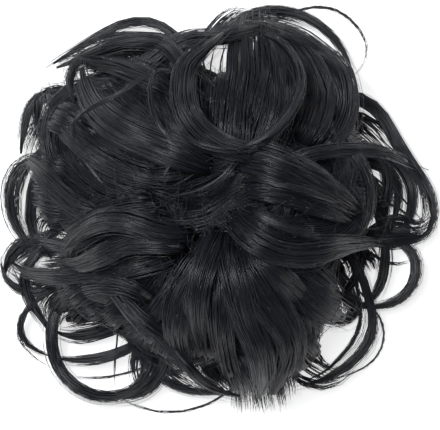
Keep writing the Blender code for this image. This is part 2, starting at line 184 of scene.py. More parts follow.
# Rim round: the lowest weft, a flaring bed of packed fibre sewn to the elastic, whose thin rings,
# loops and wisps lie out round the rim. Each lock is heat-set synthetic fibre, near black and glossy.
Lock = namedtuple("Lock", "name points wide deep tip arch lift drop", defaults=(0, 0, 0))
RIM_LOCKS = [Lock(*row) for row in (
    # name, points (x, y) from root to tip, wide, deep, tip, arch, lift, drop, up to the last that isn't 0
    ("big_ring", ((-25, -31), (-31, -26), (-40, -24), (-48.5, -25.5), (-55, -30.5), (-58.5, -38),
        (-58.9, -46), (-56.6, -54.5), (-50.6, -61), (-43.1, -64.4), (-35, -64.2), (-28, -60.5), (-24, -54),
        (-23.5, -47)), 5.2, 6, 0.8, 0, 1.5),
    ("ring_foot", ((-18, -47), (-20, -55), (-24.5, -61), (-31, -64.3), (-38, -65)), 5, 5, 0.7),
    ("ring_shade", ((-27, -33), (-36, -34.5), (-45, -35.5), (-54, -38)), 8.5, 5, 0.8),
    ("ring_bar_high", ((-33, -39), (-40, -41.2), (-46, -43), (-52, -43.5), (-57.5, -42)), 5.5, 4, 0.6, 0,
        -1),
    ("ring_bar_low", ((-29, -46), (-35, -49.3), (-42, -51.2), (-50, -52), (-58, -51)), 3.8, 4, 0.5, 0, -1),
    ("ring_return", ((-30, -40), (-28, -48), (-27, -56), (-31, -62), (-38, -65)), 2.4, 4, 0.5),
    ("inner_diagonal", ((-28, -36), (-26, -44), (-24, -52), (-21, -59)), 6, 5, 0.8),
    ("bottom_loop", ((-22, -57), (-17, -60.5), (-10, -62.8), (-2, -63.3), (6, -64)), 3.6, 5, 0.5),
    ("bottom_curl", ((-12, -40), (-4, -45), (3, -52), (5, -59), (7, -64)), 5, 5, 0.6),
    ("far_left_loop", ((-64, -31), (-68.7, -36), (-70, -41), (-67.5, -46.5), (-62.5, -49.5), (-58, -51)),
        2.6, 4, 0.5, 0, -1),
    ("left_tail", ((-66, -17), (-68.5, -24), (-66.5, -31), (-62.5, -37.5), (-59, -43)), 5, 5, 0.7),
    ("left_corner", ((-56, -24), (-63, -28), (-69.5, -27.5), (-75, -23.2), (-76.8, -18)), 4, 4, 0.6),
    ("left_tuft", ((-60, -11), (-66, -11), (-71.5, -13), (-74.5, -17.5), (-75.5, -21.5)), 6.5, 4, 0.8),
    ("left_loop", ((-60, 18.5), (-67, 17.7), (-72.4, 12.7), (-73.8, 5), (-72.6, -2), (-69.6, -8),
        (-65, -12.5), (-59, -15.5)), 4.6, 6, 0.6),
    ("left_inner", ((-59, 17), (-64.5, 11), (-66, 3), (-66.4, -4), (-63.5, -11), (-59, -16)), 5.4, 5, 0.7),
    ("left_shade", ((-38, 14), (-48, 16), (-57, 19), (-62, 25)), 10, 5, 0.8),
    ("upper_left_tuft", ((-57, 37), (-62, 40.8), (-66.2, 37.2), (-68.6, 29.5), (-69.8, 20.5)), 4.4, 4, 0.8),
    ("upper_edge", ((-45, 38), (-52, 41.5), (-58, 42.5), (-63, 40), (-64, 33), (-63, 26)), 4.5, 4, 0.7),
    ("upper_left_loop", ((-12, 43), (-11.5, 52), (-14, 59.5), (-19, 64.3), (-26, 66.8), (-34, 65.8),
        (-42, 62), (-50, 57.3), (-58.5, 52)), 3.8, 4, 0.9),
    ("top_right_loop", ((6, 67), (13, 70), (22, 70.5), (31, 68), (38, 63), (43.5, 56), (46.5, 47)), 4.4, 5,
        0.8),
    ("right_arc_high", ((44, 41), (50, 39.8), (55.8, 35.2), (59.7, 29.2), (63, 23.2), (67.5, 16.2),
        (72, 9.2), (74.8, 2), (74.3, -5), (69.5, -10), (63, -11.5)), 4.4, 5, 0.6),
    ("right_arc", ((44, 22), (53, 22), (60.5, 18.2), (65.5, 11.8), (67.2, 4.5), (65.8, -3), (61, -9.5)),
        4.8, 5, 0.7),
    ("right_inner", ((44, 19), (51, 20), (57, 17.5), (59, 11), (58, 4), (57, -3), (58, -10)), 5, 5, 0.8),
    ("right_tangle", ((55, 16), (60.5, 13), (62.3, 6), (61.5, -1), (60, -7)), 4, 5, 0.7),
    ("right_under", ((40, -8), (48, -9.5), (56, -10), (64, -9.5), (72, -8)), 5, 5, 0.6),
    ("right_ring", ((58, -9.5), (64, -11), (68.3, -16), (68.8, -22), (66, -28), (60.5, -32), (53.5, -33.2),
        (47, -33)), 4, 5, 0.7),
    ("ring_bar_right", ((58, -11), (57.8, -18), (56.6, -24.6), (53.4, -30.2), (47.5, -33.5)), 5.2, 5, 0.7),
    ("ring_bar_inner", ((50, -13), (49, -19), (46.5, -24.5), (43, -29), (39, -32)), 4.5, 5, 0.8),
    ("low_edge", ((44, -30), (48, -32), (46, -36), (39, -39)), 5, 5, 0.7),
    ("low_arc_inner", ((49, -33), (49.2, -39), (46.5, -45.5), (42, -51), (36.5, -56), (30, -59)), 1.8, 4,
        0.5),
    ("low_arc_outer", ((53, -34), (53.6, -41), (50.8, -47.5), (45.8, -53), (38.8, -57.5), (29, -61)), 4.4,
        4, 0.6),
)]
SideCurls = namedtuple("SideCurls", "count first_azimuth centre_r centre_z radius "
                                    "from_angle to_angle wide deep")
RIM_CURLS = SideCurls(count=20, first_azimuth=8.0, centre_r=-3.0, centre_z=10.5, radius=6.0,
                      from_angle=130.0, to_angle=-150.0, wide=11.0, deep=3.0)
CURL_TIP = 0.7
CURL_INSET = 0.6

# Side curls differ a little from one to the next, in azimuth (degrees), radius, height and twist
GOLDEN_ANGLE = 137.508
CURL_WANDER = 4.0
CURL_RADIUS_SPREAD = 0.2
CURL_HEIGHT_SPREAD = 1.5
CURL_TWIST = 0.12

# Where the rim round's locks lie: they fall from the middle to the full reach of the piece
REACH = 80.0
RIM_TOP = 13.5
RIM_FALL = 6.0
RIM_EXIT = (42.0, RIM_TOP)

# A lock whose root lies well outside its head has a lead, which comes out of the head to the root
EXIT_SLACK = 3.0
LEAD_STEPS = 12
LEAD_SWING = 0.4

# Steps along a lock's line, and the share of its length that the line runs on past its tip
PATH_STEPS = 48
OVERSHOOT = 0.12

# How a lock swells from its root and tapers to its tip, as shares of its full size
ROOT_SIZE = 0.75
SWELL_END = 0.2
TAPER_START = 0.65
OVERSHOOT_SIZE = 0.8

# How a lock rises, waves and falls along its length
ARCH_POWER = 0.8
DROP_POWER = 2.5
WAVE_LENGTH = 26.0
WAVE_HEIGHT = 1.4
WAVE_PER_WIDE = 0.18

# How far from its root a lock's first crest stands, where the photo shows its gloss
CRESTS = {"right_wave": 16, "right_sweep": 16, "fan_left": 24, "fan_centre": 21, "fan_right": 42,
          "upper_left": 34, "long_left": 35, "left_wave": 27, "left_low": 30, "lower_left": 20,
          "roll_inner": 28, "ring_top": 20}

# Locks that start near the middle dive into it over the first share of their length
DIVE_R = 16.0
DIVE_SHARE = 0.12

# How the plain filling locks lie: hooked ones run out and then along the edge of the mass, and
# rolled ones twist about a place along their length. Each is as wide and deep as its range says.
HOOK_RUN = 0.62
HOOK_WIDE = (6.0, 10.0)
HOOK_TIP = 0.6
HOOK_CLEAR = 0.45
ROLL_PIVOT = 0.6
ROLL_WOBBLE = 0.25
ROLL_WOBBLE_RATE = 5.0
ROLL_WIDE = (8.0, 13.0)
ROLL_TIP = 0.8
ROLL_CLEAR = 0.35
FILL_DEEP = (3.5, 5.0)
FILL_SINK = 2.5

# The packed inside of a lock is a little smaller than the fibres round it, and tapers near its tip
CORE_SHARE = 0.7
CORE_TAPER = 0.8
CORE_TIP = 0.35
CORE_SIDES = 8
CORE_STEPS = 18

# The heads of packed fibre: their shade, how finely they are streaked and turned, and how far they
# stay inside the mass's reach
HEAD_TONE = 0.2
HEAD_STREAK_R = 30.0
HEAD_SIDES = 72
HEAD_MARGIN = 5.0

# The fibres: each stands for a few real ones side by side, and lies flat on its lock's surface.
# A curlier lock has more steps along each fibre.
FIBRE_HALF_WIDE = 0.2
FIBRE_BULGE = 0.35
FIBRES_PER_MM = 7.0
FINE_PER_MM = 9.0
STRAND_PER_MM = 12.0
FILL_PER_MM = 3.4
CURL_PER_MM = 4.5
FEWEST_FIBRES = 6
FUZZY_SHARE = 0.2
SHORT_SHARE = 0.35
SHORT_FROM_WIDE = 5.0
RIPPLE_HEIGHT = 0.35
RIPPLE_LENGTH = 17.0
RIPPLE_PER_WIDE = 0.2
SECTION_ROUND = 0.92
FIBRE_DEPTH = 0.2
RIBBON_WIDE = 1.4
TIP_SHARE = 0.2
DEGREES_PER_STEP = 15.0
FEWEST_STEPS = 8
MOST_STEPS = 19
STRAY_STEPS = 13
HEAD_STEPS = 9
CLUMPS = 46
MASS_MIDDLE_Z = 10.0
UV_COLUMNS = 20
STREAK_RUN = 50.0
STREAKS_APART = 20.0
LAYERS = ("tone", "across", "along")
FULL_TURN = 2.0 * math.pi
random = np.random.default_rng(7)

# How far the packed mass of hair reaches from the axis, at every fifteen degrees from +X
MASS_REACH = (54, 48, 52, 62, 62, 57, 43, 56, 60, 64, 67, 65, 63, 54, 63, 53, 52, 53, 48, 62, 60, 49, 45, 50)


def mass_reach(azimuth):
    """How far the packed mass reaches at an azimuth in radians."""
    step = FULL_TURN / len(MASS_REACH)
    return np.interp(azimuth, np.arange(len(MASS_REACH)) * step, MASS_REACH, period=FULL_TURN)


def drawn(count, low, high):
    """A column of random numbers between low and high."""
    return random.uniform(low, high, count)[:, None]


def rim_height(radius):
    """Height of the rim round's locks at a distance from the axis."""
    return RIM_TOP - RIM_FALL * np.minimum(radius / REACH, 1.0)


def laid_side(line, height):
    """Which way a lock's width runs along its line, when it lies flat on the dome that height gives."""
    radius = np.maximum(np.hypot(line[:, 0], line[:, 1]), 0.5)
    slope = (height(radius + 1.0) - height(np.maximum(radius - 1.0, 0.0))) / 2.0
    normal = np.stack([-slope * line[:, 0] / radius, -slope * line[:, 1] / radius, np.ones(len(line))], 1)
    return unit(np.cross(normal, np.gradient(line, axis=0)))


def lock_line(lock, height, head_exit, dive):
    """A lock's middle line in millimetres, its lead from the head first, its shares and its side."""
    corners = np.array([complex(x, y) for x, y in lock.points])
    at = np.concatenate([[0.0], np.cumsum(abs(np.diff(corners)))])
    at /= at[-1]
    slopes = np.gradient(corners, at, edge_order=2)
    shares = np.arange(int(PATH_STEPS * (1.0 + OVERSHOOT)) + 1) / PATH_STEPS
    piece = np.clip(np.searchsorted(at, shares, "right") - 1, 0, len(at) - 2)
    span = at[piece + 1] - at[piece]
    t = np.minimum((shares - at[piece]) / span, 1.0)
    plan = (1 + 2 * t) * (1 - t) ** 2 * corners[piece] + t * (1 - t) ** 2 * span * slopes[piece]
    plan += t * t * (3 - 2 * t) * corners[piece + 1] + t * t * (t - 1) * span * slopes[piece + 1]
    plan += np.maximum(shares - 1.0, 0.0) * slopes[-1]
    root = corners[0]
    z = height(abs(plan)) + lock.lift - lock.drop * shares ** DROP_POWER
    z += lock.arch * np.sin(math.pi * np.minimum(shares, 1.0) ** ARCH_POWER)
    crest = CRESTS.get(lock.name, WAVE_LENGTH * (abs(root) % 1.0))
    run = abs(np.gradient(plan)).cumsum()
    turn = (run - crest) / WAVE_LENGTH * 2.0 * math.pi + 0.5 * math.pi
    z += min(WAVE_HEIGHT, WAVE_PER_WIDE * lock.wide) * np.sin(turn)
    if abs(root) < DIVE_R:
        z -= dive * np.exp(-(shares / DIVE_SHARE) ** 2)
    line = np.stack([plan.real, plan.imag, z], 1)
    exit_r, exit_z = head_exit
    if abs(root) < exit_r + EXIT_SLACK:
        return line, shares, laid_side(line, height)
    heading = (line[1] - line[0]) / np.linalg.norm(line[1] - line[0])
    swing = np.angle(complex(heading[0], heading[1]) / root)
    outward = root / abs(root) * np.exp(-1j * LEAD_SWING * swing)
    outward = np.array([outward.real, outward.imag, 0.0])
    start = outward * exit_r + (0.0, 0.0, exit_z)
    pull = np.linalg.norm(line[0] - start) / 3.0
    t = (np.arange(LEAD_STEPS) / LEAD_STEPS)[:, None]
    lead = start * (1 - t) ** 3 + (start + outward * pull) * 3 * t * (1 - t) ** 2
    lead += (line[0] - heading * pull) * 3 * t * t * (1 - t) + line[0] * t ** 3
    shares = np.concatenate([np.zeros(LEAD_STEPS), shares])
    line = np.concatenate([lead, line])
    return line, shares, laid_side(line, height)


def placed(r, azimuth, z):
    """Points at distances from the axis, azimuths and heights."""
    return np.stack([r * np.cos(azimuth), r * np.sin(azimuth), z], -1)


def side_curl_line(curls, index):
    """A curl that leaves the head, rolls over in an upright plane and tucks back under."""
    wave = math.sin(math.radians(GOLDEN_ANGLE * index))
    azimuth = math.radians(curls.first_azimuth + 360.0 * index / curls.count + CURL_WANDER * wave)
    radius = curls.radius * (1.0 + CURL_RADIUS_SPREAD * wave)
    centre_r = mass_reach(azimuth) - CURL_INSET * radius + curls.centre_r
    centre_z = curls.centre_z + CURL_HEIGHT_SPREAD * math.cos(math.radians(GOLDEN_ANGLE * index))
    angles = np.radians(np.linspace(curls.from_angle, curls.to_angle, PATH_STEPS))
    r = np.concatenate([[centre_r - 2.0 * radius], centre_r + radius * np.cos(angles)])
    z = np.concatenate([[centre_z + radius + 1.0], centre_z + radius * np.sin(angles)])
    turned = azimuth + np.linspace(0.0, CURL_TWIST * wave, len(r))
    return placed(r, turned, z), np.linspace(0.0, 1.0, len(r)), azimuth


def hooked_line(azimuth, from_r, height, beyond, swing, drop):
    """A lock that runs out over the head and then swings round along the edge of the mass."""
    shares = np.linspace(0.0, 1.0, PATH_STEPS)
    turned = azimuth + swing * shares ** 2
    reach = mass_reach(turned) + beyond
    r = from_r + (reach - from_r) * np.sin(HOOK_RUN * math.pi * shares)
    line = placed(r, turned, height(r) - drop * shares ** DROP_POWER)
    return line, shares, laid_side(line, height)


def rolled_line(azimuth, from_r, height, radius, twist, to_angle):
    """A lock that runs out over the head, rolls over the edge of the mass and tucks under."""
    centre_r = mass_reach(azimuth) - radius
    fall = math.atan2(height(centre_r - 2.0) - height(centre_r + 2.0), 4.0)
    edge_r = centre_r + radius * math.sin(fall)
    centre_z = height(edge_r) - radius * math.cos(fall)
    angles = np.linspace(0.5 * math.pi - fall, math.radians(to_angle), PATH_STEPS // 2)
    out = np.linspace(from_r, edge_r, PATH_STEPS // 2)[:-1]
    r = np.concatenate([out, centre_r + radius * np.cos(angles)])
    z = np.concatenate([height(out), centre_z + radius * np.sin(angles)])
    shares = np.concatenate([[0.0], np.cumsum(np.hypot(np.diff(r), np.diff(z)))])
    shares /= shares[-1]
    wobble = ROLL_WOBBLE * twist * np.sin(ROLL_WOBBLE_RATE * shares)
    turned = azimuth + twist * (shares - ROLL_PIVOT) + wobble
    side = np.stack([-np.sin(turned), np.cos(turned), np.zeros(len(r))], 1)
    return placed(r, turned, z), shares, side


def unit(vectors):
    """Vectors of the same directions, each one long."""
    return vectors / np.maximum(np.linalg.norm(vectors, axis=-1, keepdims=True), 1e-9)


class Way:
    """A lock's middle line with its side and rise directions and its size, read at shares of its length."""

    def __init__(self, line, shares, side, wide, deep, tip):
        steps = np.linalg.norm(np.diff(line, axis=0), axis=1)
        self.at = np.concatenate([[0.0], np.cumsum(steps)])
        self.length = self.at[-1]
        self.at /= self.length
        self.line = line
        along = unit(np.gradient(line, axis=0))
        turning = np.arccos(np.clip(np.sum(along[1:] * along[:-1], 1), -1.0, 1.0)).sum()
        self.steps = int(np.clip(math.degrees(turning) / DEGREES_PER_STEP, FEWEST_STEPS, MOST_STEPS))
        self.side = np.broadcast_to(side, line.shape)
        self.rise = unit(np.cross(along, self.side))
        size = np.interp(shares, [0.0, SWELL_END, TAPER_START, 1.0, 1.0 + OVERSHOOT],
                         [ROOT_SIZE, 1.0, 1.0, tip, OVERSHOOT_SIZE * tip])
        self.half_wide = 0.5 * wide * size
        self.half_deep = 0.5 * deep * size
        self.wide = wide
        self.tip = np.interp(1.0, shares, self.at)

    def read(self, values, t):
        """Values along the way at shares t, of any shape."""
        if values.ndim == 1:
            return np.interp(t, self.at, values)
        return np.stack([np.interp(t, self.at, values[:, k]) for k in range(3)], -1)


def layered():
    """A new bmesh, and its layers that the hair's finish reads."""
    bm = bmesh.new()
    return bm, [bm.verts.layers.float.new(name) for name in LAYERS]


def join_into(whole, bm):
    """Adds a finished bmesh to the whole and frees it."""
    joined = bpy.data.meshes.new("joined")
    bm.to_mesh(joined)
    bm.free()
    whole.from_mesh(joined)
    bpy.data.meshes.remove(joined)


def packed_lock(way, tone, whole):
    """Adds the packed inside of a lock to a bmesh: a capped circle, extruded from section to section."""
    bm, (tones, acrosses, alongs) = layered()
    bmesh.ops.create_circle(bm, cap_ends=True, segments=CORE_SIDES, radius=1.0)
    shares = np.linspace(0.0, way.tip, CORE_STEPS)
    places = way.read(way.line, shares)
    sides = unit(way.read(way.side, shares))
    rises = unit(way.read(way.rise, shares))
    taper = np.interp(shares / way.tip, [CORE_TAPER, 1.0], [1.0, CORE_TIP])
    wides = CORE_SHARE * way.read(way.half_wide, shares) * taper
    deeps = CORE_SHARE * way.read(way.half_deep, shares) * taper
    ring = list(bm.verts)
    face = bm.faces[:][0]
    before = Matrix.Identity(4)
    for step, share in enumerate(shares):
        side, rise = Vector(sides[step]), Vector(rises[step])
        ahead = side.cross(rise)
        section = Matrix((side * wides[step], rise * deeps[step], ahead)).transposed().to_4x4()
        section.translation = Vector(places[step])
        if step:
            grown = bmesh.ops.extrude_face_region(bm, geom=[face])["geom"]
            ring = [part for part in grown if isinstance(part, bmesh.types.BMVert)]
            face = [part for part in grown if isinstance(part, bmesh.types.BMFace)][0]
        bmesh.ops.transform(bm, matrix=section @ before.inverted(), verts=ring)
        before = section
        for vert in ring:
            vert[tones] = tone
            vert[acrosses] = (vert.co - section.translation).dot(side)
            vert[alongs] = share * way.length
    bmesh.ops.recalc_face_normals(bm, faces=bm.faces)
    join_into(whole, bm)


def turned_head(profile, whole, inner_r=None, full_r=None, cover=None):
    """Adds a head of packed fibre to a bmesh: a profile of (radius, height) turned round the axis.

    Outside inner_r it is stretched to the mass's reach, and then kept under the cover's height."""
    bm, (tones, acrosses, alongs) = layered()
    spun(bm, profile, HEAD_SIDES, MERGE_MM)
    for vert in bm.verts if full_r else ():
        radius = vert.co.xy.length
        if radius > inner_r + 0.01:
            azimuth = math.atan2(vert.co.y, vert.co.x)
            new_r = stretched(radius, azimuth, inner_r, full_r)
            vert.co.xy = vert.co.xy * (new_r / radius)
            vert.co.z = min(vert.co.z, cover(new_r))
    for vert in bm.verts:
        vert[tones] = HEAD_TONE
        vert[acrosses] = math.atan2(vert.co.y, vert.co.x) * HEAD_STREAK_R
        vert[alongs] = vert.co.xy.length
    join_into(whole, bm)


def stretched(radius, azimuth, inner_r, full_r):
    """A head's radius, stretched so that full_r comes a little short of the mass's reach."""
    reach = mass_reach(azimuth) - HEAD_MARGIN
    return radius + (reach - full_r) * np.clip((radius - inner_r) / (full_r - inner_r), 0.0, None)


def lock_fibres(way, per_mm=FIBRES_PER_MM, loose=0.04, top=0.7):
    """The middle lines of a lock's fibres, the flat direction along each, and the tone of each.

    A share top of them lies on the lock's upper side, and a share loose swings away from it."""
    count = max(FEWEST_FIBRES, int(round(way.wide * per_mm)))
    above = int(round(top * count))
    upper = np.where(np.arange(count) < above, 1.0, -1.0)[:, None]
    place = np.concatenate([np.arange(above) / above, np.arange(count - above) / max(count - above, 1)])
    place = np.clip(2.0 * place[:, None] - 1.0 + drawn(count, 0.0, 3.0) / count, -1.0, 1.0)

    # The lock is parted in ribbons, each with its own drift, phase, height, ripple and tone
    ribbons = max(2, int(round(way.wide / RIBBON_WIDE)))
    ribbon = np.minimum(((place[:, 0] + 1.0) * 0.5 * ribbons).astype(int), ribbons - 1)
    drift = drawn(ribbons, -1.0, 1.0)[ribbon] * max(0.1, 0.6 / ribbons)
    phase = drawn(ribbons, 0.0, FULL_TURN)[ribbon]
    height = drawn(ribbons, 0.86, 1.05)[ribbon]
    ripple = drawn(ribbons, 0.0, FULL_TURN)[ribbon]
    ribbon_tone = drawn(ribbons, 0.0, 1.0)[ribbon]

    # Short fibres begin and end within a broad lock, and the others end at many places near its tip
    short = (drawn(count, 0.0, 1.0) < SHORT_SHARE) & (way.wide > SHORT_FROM_WIDE)
    begins = np.where(short, drawn(count, 0.0, 0.55), drawn(count, 0.0, 0.08))
    ends = way.tip * (1.0 - 0.4 * drawn(count, 0.0, 1.0) ** 1.7)
    ends += (1.0 - way.tip) * drawn(count, -0.3, 1.0)
    ends = np.where(short, np.minimum(ends, begins + drawn(count, 0.35, 0.6)), ends)
    t = begins + (ends - begins) * np.linspace(0.0, 1.0, way.steps)

    # Where each fibre lies across its lock and how high, with fuzzy edges and a few loose fibres
    across = place + drift * np.sin(2.5 * t + phase)
    across = across + 0.02 * np.sin(drawn(count, 3, 9) * t + drawn(count, 0, 6))
    fuzzy = drawn(count, 0.0, 1.0) < FUZZY_SHARE
    across = across * np.where(fuzzy, drawn(count, 1.05, 1.5), 1.0)
    round_off = np.sqrt(np.maximum(1.0 - SECTION_ROUND * across ** 2, 0.02))
    depth = upper * round_off * (height * drawn(count, 0.86, 1.03))
    stray = drawn(count, 0.0, 1.0) < loose
    swing = np.where(stray, drawn(count, 0.15, 0.55), 0.0) * (t - begins)
    across = across + swing * random.choice([-1.0, 1.0], count)[:, None] * 1.5
    depth = depth + swing * upper
    sides, rises = way.read(way.side, t), way.read(way.rise, t)
    half_wides, half_deeps = (way.read(half, t)[..., None] for half in (way.half_wide, way.half_deep))
    lines = way.read(way.line, t) + sides * across[..., None] * half_wides
    lines = lines + rises * depth[..., None] * half_deeps
    turn = 2.0 * math.pi * t * way.length / RIPPLE_LENGTH + (ripple + drawn(count, -0.5, 0.5))
    rippled = RIPPLE_HEIGHT * min(1.0, RIPPLE_PER_WIDE * way.wide) * np.sin(turn)
    lines = lines + rises * rippled[..., None]
    lines[..., 2] = np.maximum(lines[..., 2], FIBRE_DEPTH)
    fall_off = -SECTION_ROUND * upper * across / round_off
    flats = upper[..., None] * (sides * half_wides + rises * fall_off[..., None] * half_deeps)
    tone = 0.35 * ribbon_tone + 0.65 * drawn(count, 0.0, 1.0) ** 1.5
    return lines, flats, tone[:, 0]


def head_fibres(fall, count, swirl, lift, reach=(0.0, 1.0), inner_r=None, full_r=None, cover=None):
    """Fibres that fall over a head: fall is its outline from the middle down, as (radius, height)."""
    fall = np.array(fall)
    at = np.concatenate([[0.0], np.cumsum(np.linalg.norm(np.diff(fall, axis=0), axis=1))])
    at /= at[-1]
    begins = drawn(count, reach[0], reach[0] + 0.35 * (reach[1] - reach[0]))
    ends = drawn(count, 0.6, 1.0) * (reach[1] - begins) + begins
    t = begins + (ends - begins) * np.linspace(0.0, 1.0, HEAD_STEPS)
    clump = random.integers(0, CLUMPS, count)
    azimuth = drawn(CLUMPS, 0, FULL_TURN)[clump] + random.normal(0, 0.05, count)[:, None]
    turn = drawn(CLUMPS, -1.0, 1.0)[clump] * swirl
    azimuth = azimuth + turn * t + 0.04 * np.sin(8.0 * t + drawn(count, 0, 6))
    proud = drawn(CLUMPS, 0.2, 1.0)[clump] * lift * np.sin(math.pi * np.clip(t, 0.08, 0.92))
    proud = proud + drawn(count, 0.0, 0.5)
    r = np.interp(t, at, fall[:, 0])
    z = np.interp(t, at, fall[:, 1])
    if full_r:
        r = np.where(r > inner_r, stretched(r, azimuth, inner_r, full_r), r)
        z = np.minimum(z, cover(r))
    lines = placed(r + proud * 0.6, azimuth, z + proud * 0.6)
    tone = 0.5 * drawn(CLUMPS, 0, 1)[clump] + 0.5 * drawn(count, 0, 1)
    return lines, upright(lines), tone[:, 0]


def upright(lines):
    """The flat direction of fibres that lie on the round mass: level, and square to their run."""
    outward = unit(lines - np.array([0.0, 0.0, MASS_MIDDLE_Z]))
    return np.cross(outward, np.gradient(lines, axis=1))


def tress_corners(lines, flats, half_wide, bulge):
    """The three corners of each section: both edges of the flat side, and the bulge between them."""
    count, steps = lines.shape[:2]
    along = unit(np.gradient(lines, axis=1))
    outward = unit(np.cross(along, flats))
    level = np.cross(outward, along)
    size = half_wide * drawn(count, 0.7, 1.3)
    size = size * np.interp(np.linspace(0, 1, steps), [0.0, 0.12, 0.7, 1.0], [0.5, 1.0, 0.9, TIP_SHARE])
    size = size[..., None]
    proud = outward * size * bulge
    return lines[:, :, None] + np.stack([level * size - proud, proud, -level * size - proud], 2)


def tress_faces(count, steps):
    """The corner numbers of the faces of each fibre, their sizes, and which of them are shaded flat.

    The sides come first and the two ends last. The last side of each section is the flat one."""
    first = (np.arange(count) * steps * 3)[:, None, None]
    lower = first + (np.arange(steps - 1) * 3)[None, :, None]
    k = np.arange(3)[None, None, :]
    after = (k + 1) % 3
    quads = np.stack([lower + k, lower + after, lower + 3 + after, lower + 3 + k], -1)
    ends = np.array([[0, 2, 1], [3 * steps - 3, 3 * steps - 2, 3 * steps - 1]])
    caps = first[:, :, 0, None] + ends[None]
    sizes = np.concatenate([np.full(count * (steps - 1) * 3, 4), np.full(count * 2, 3)])
    flat = np.concatenate([np.tile([False, False, True], count * (steps - 1)), np.full(count * 2, True)])
    return np.concatenate([quads.reshape(-1), caps.reshape(-1)]), sizes, flat


def tress_uv(index, steps, rows):
    """Lays each fibre in its own cell of a sheet of columns and rows."""
    left = (index % UV_COLUMNS / UV_COLUMNS)[:, None, None]
    low = (index // UV_COLUMNS / rows)[:, None, None]
    u0 = left + (0.02 + 0.96 * np.arange(steps - 1) / steps)[None, :, None] / UV_COLUMNS
    u1 = u0 + 0.96 / steps / UV_COLUMNS
    v0 = low + (0.1 + 0.8 * np.arange(3) / 3.0)[None, None, :] / rows
    v1 = v0 + 0.8 / 3.0 / rows
    quad_uv = np.stack(np.broadcast_arrays(u0, v0, u0, v1, u1, v1, u1, v0), -1).reshape(-1)
    cap_u = left + np.array([0.0, 0.01, 0.01, 0.97, 0.98, 0.98]) / UV_COLUMNS
    cap_v = low + np.array([0.2, 0.2, 0.8, 0.2, 0.2, 0.8]) / rows
    cap_uv = np.stack(np.broadcast_arrays(cap_u, cap_v), -1).reshape(-1)
    return np.concatenate([quad_uv, cap_uv])


def fibre_piece(name, node, bundles, half_wide=FIBRE_HALF_WIDE, bulge=FIBRE_BULGE):
    """Joins many fibres into one piece. Each is a closed three-sided body, wide and flat like a few hairs."""
    rows = math.ceil(sum(len(tone) for _, _, tone in bundles) / UV_COLUMNS)
    corners, loops, sizes, flat_faces, uvs = [], [], [], [], []
    layers = {"tone": [], "along": [], "across": []}
    vert_count = fibre_count = 0
    for lines, flats, tone in bundles:
        count, steps = lines.shape[:2]
        places = tress_corners(lines, flats, half_wide, bulge).reshape(-1, 3)
        corners.append(places * MM + np.array(band_middle))
        face_loops, face_sizes, flat = tress_faces(count, steps)
        loops.append(face_loops + vert_count)
        sizes.append(face_sizes)
        flat_faces.append(flat)
        uvs.append(tress_uv(fibre_count + np.arange(count), steps, rows))
        tones = tone[:, None, None]
        edge = half_wide * np.array([1.0, 0.0, -1.0])[None, None, :]
        read = {"tone": tones, "along": np.linspace(0.0, STREAK_RUN, steps)[None, :, None],
                "across": STREAKS_APART * tones + edge}
        for layer, values in read.items():
            layers[layer].append(np.broadcast_to(values, (count, steps, 3)).ravel())
        vert_count += count * steps * 3
        fibre_count += count
    sizes = np.concatenate(sizes)
    loops = np.concatenate(loops)
    mesh = bpy.data.meshes.new(name)
    mesh.vertices.add(vert_count)
    mesh.vertices.foreach_set("co", np.concatenate(corners).astype(np.float32).ravel())
    mesh.loops.add(len(loops))
    mesh.loops.foreach_set("vertex_index", loops.astype(np.int32))
    mesh.polygons.add(len(sizes))
    starts = np.concatenate([[0], np.cumsum(sizes)[:-1]])
    mesh.polygons.foreach_set("loop_start", starts.astype(np.int32))
    mesh.update(calc_edges=True)
    for layer, values in layers.items():
        attribute = mesh.attributes.new(layer, "FLOAT", "POINT")
        attribute.data.foreach_set("value", np.concatenate(values).astype(np.float32))
    sheet = mesh.uv_layers.new(name="OFBake")
    sheet.uv.foreach_set("vector", np.concatenate(uvs).astype(np.float32))
    mesh.shade_smooth()
    sharp = mesh.attributes.new("sharp_face", "BOOLEAN", "FACE")
    sharp.data.foreach_set("value", np.concatenate(flat_faces))
    mesh.materials.append(glossy_fibre)
    mesh.validate()
    dressed(linked(name, mesh), node)


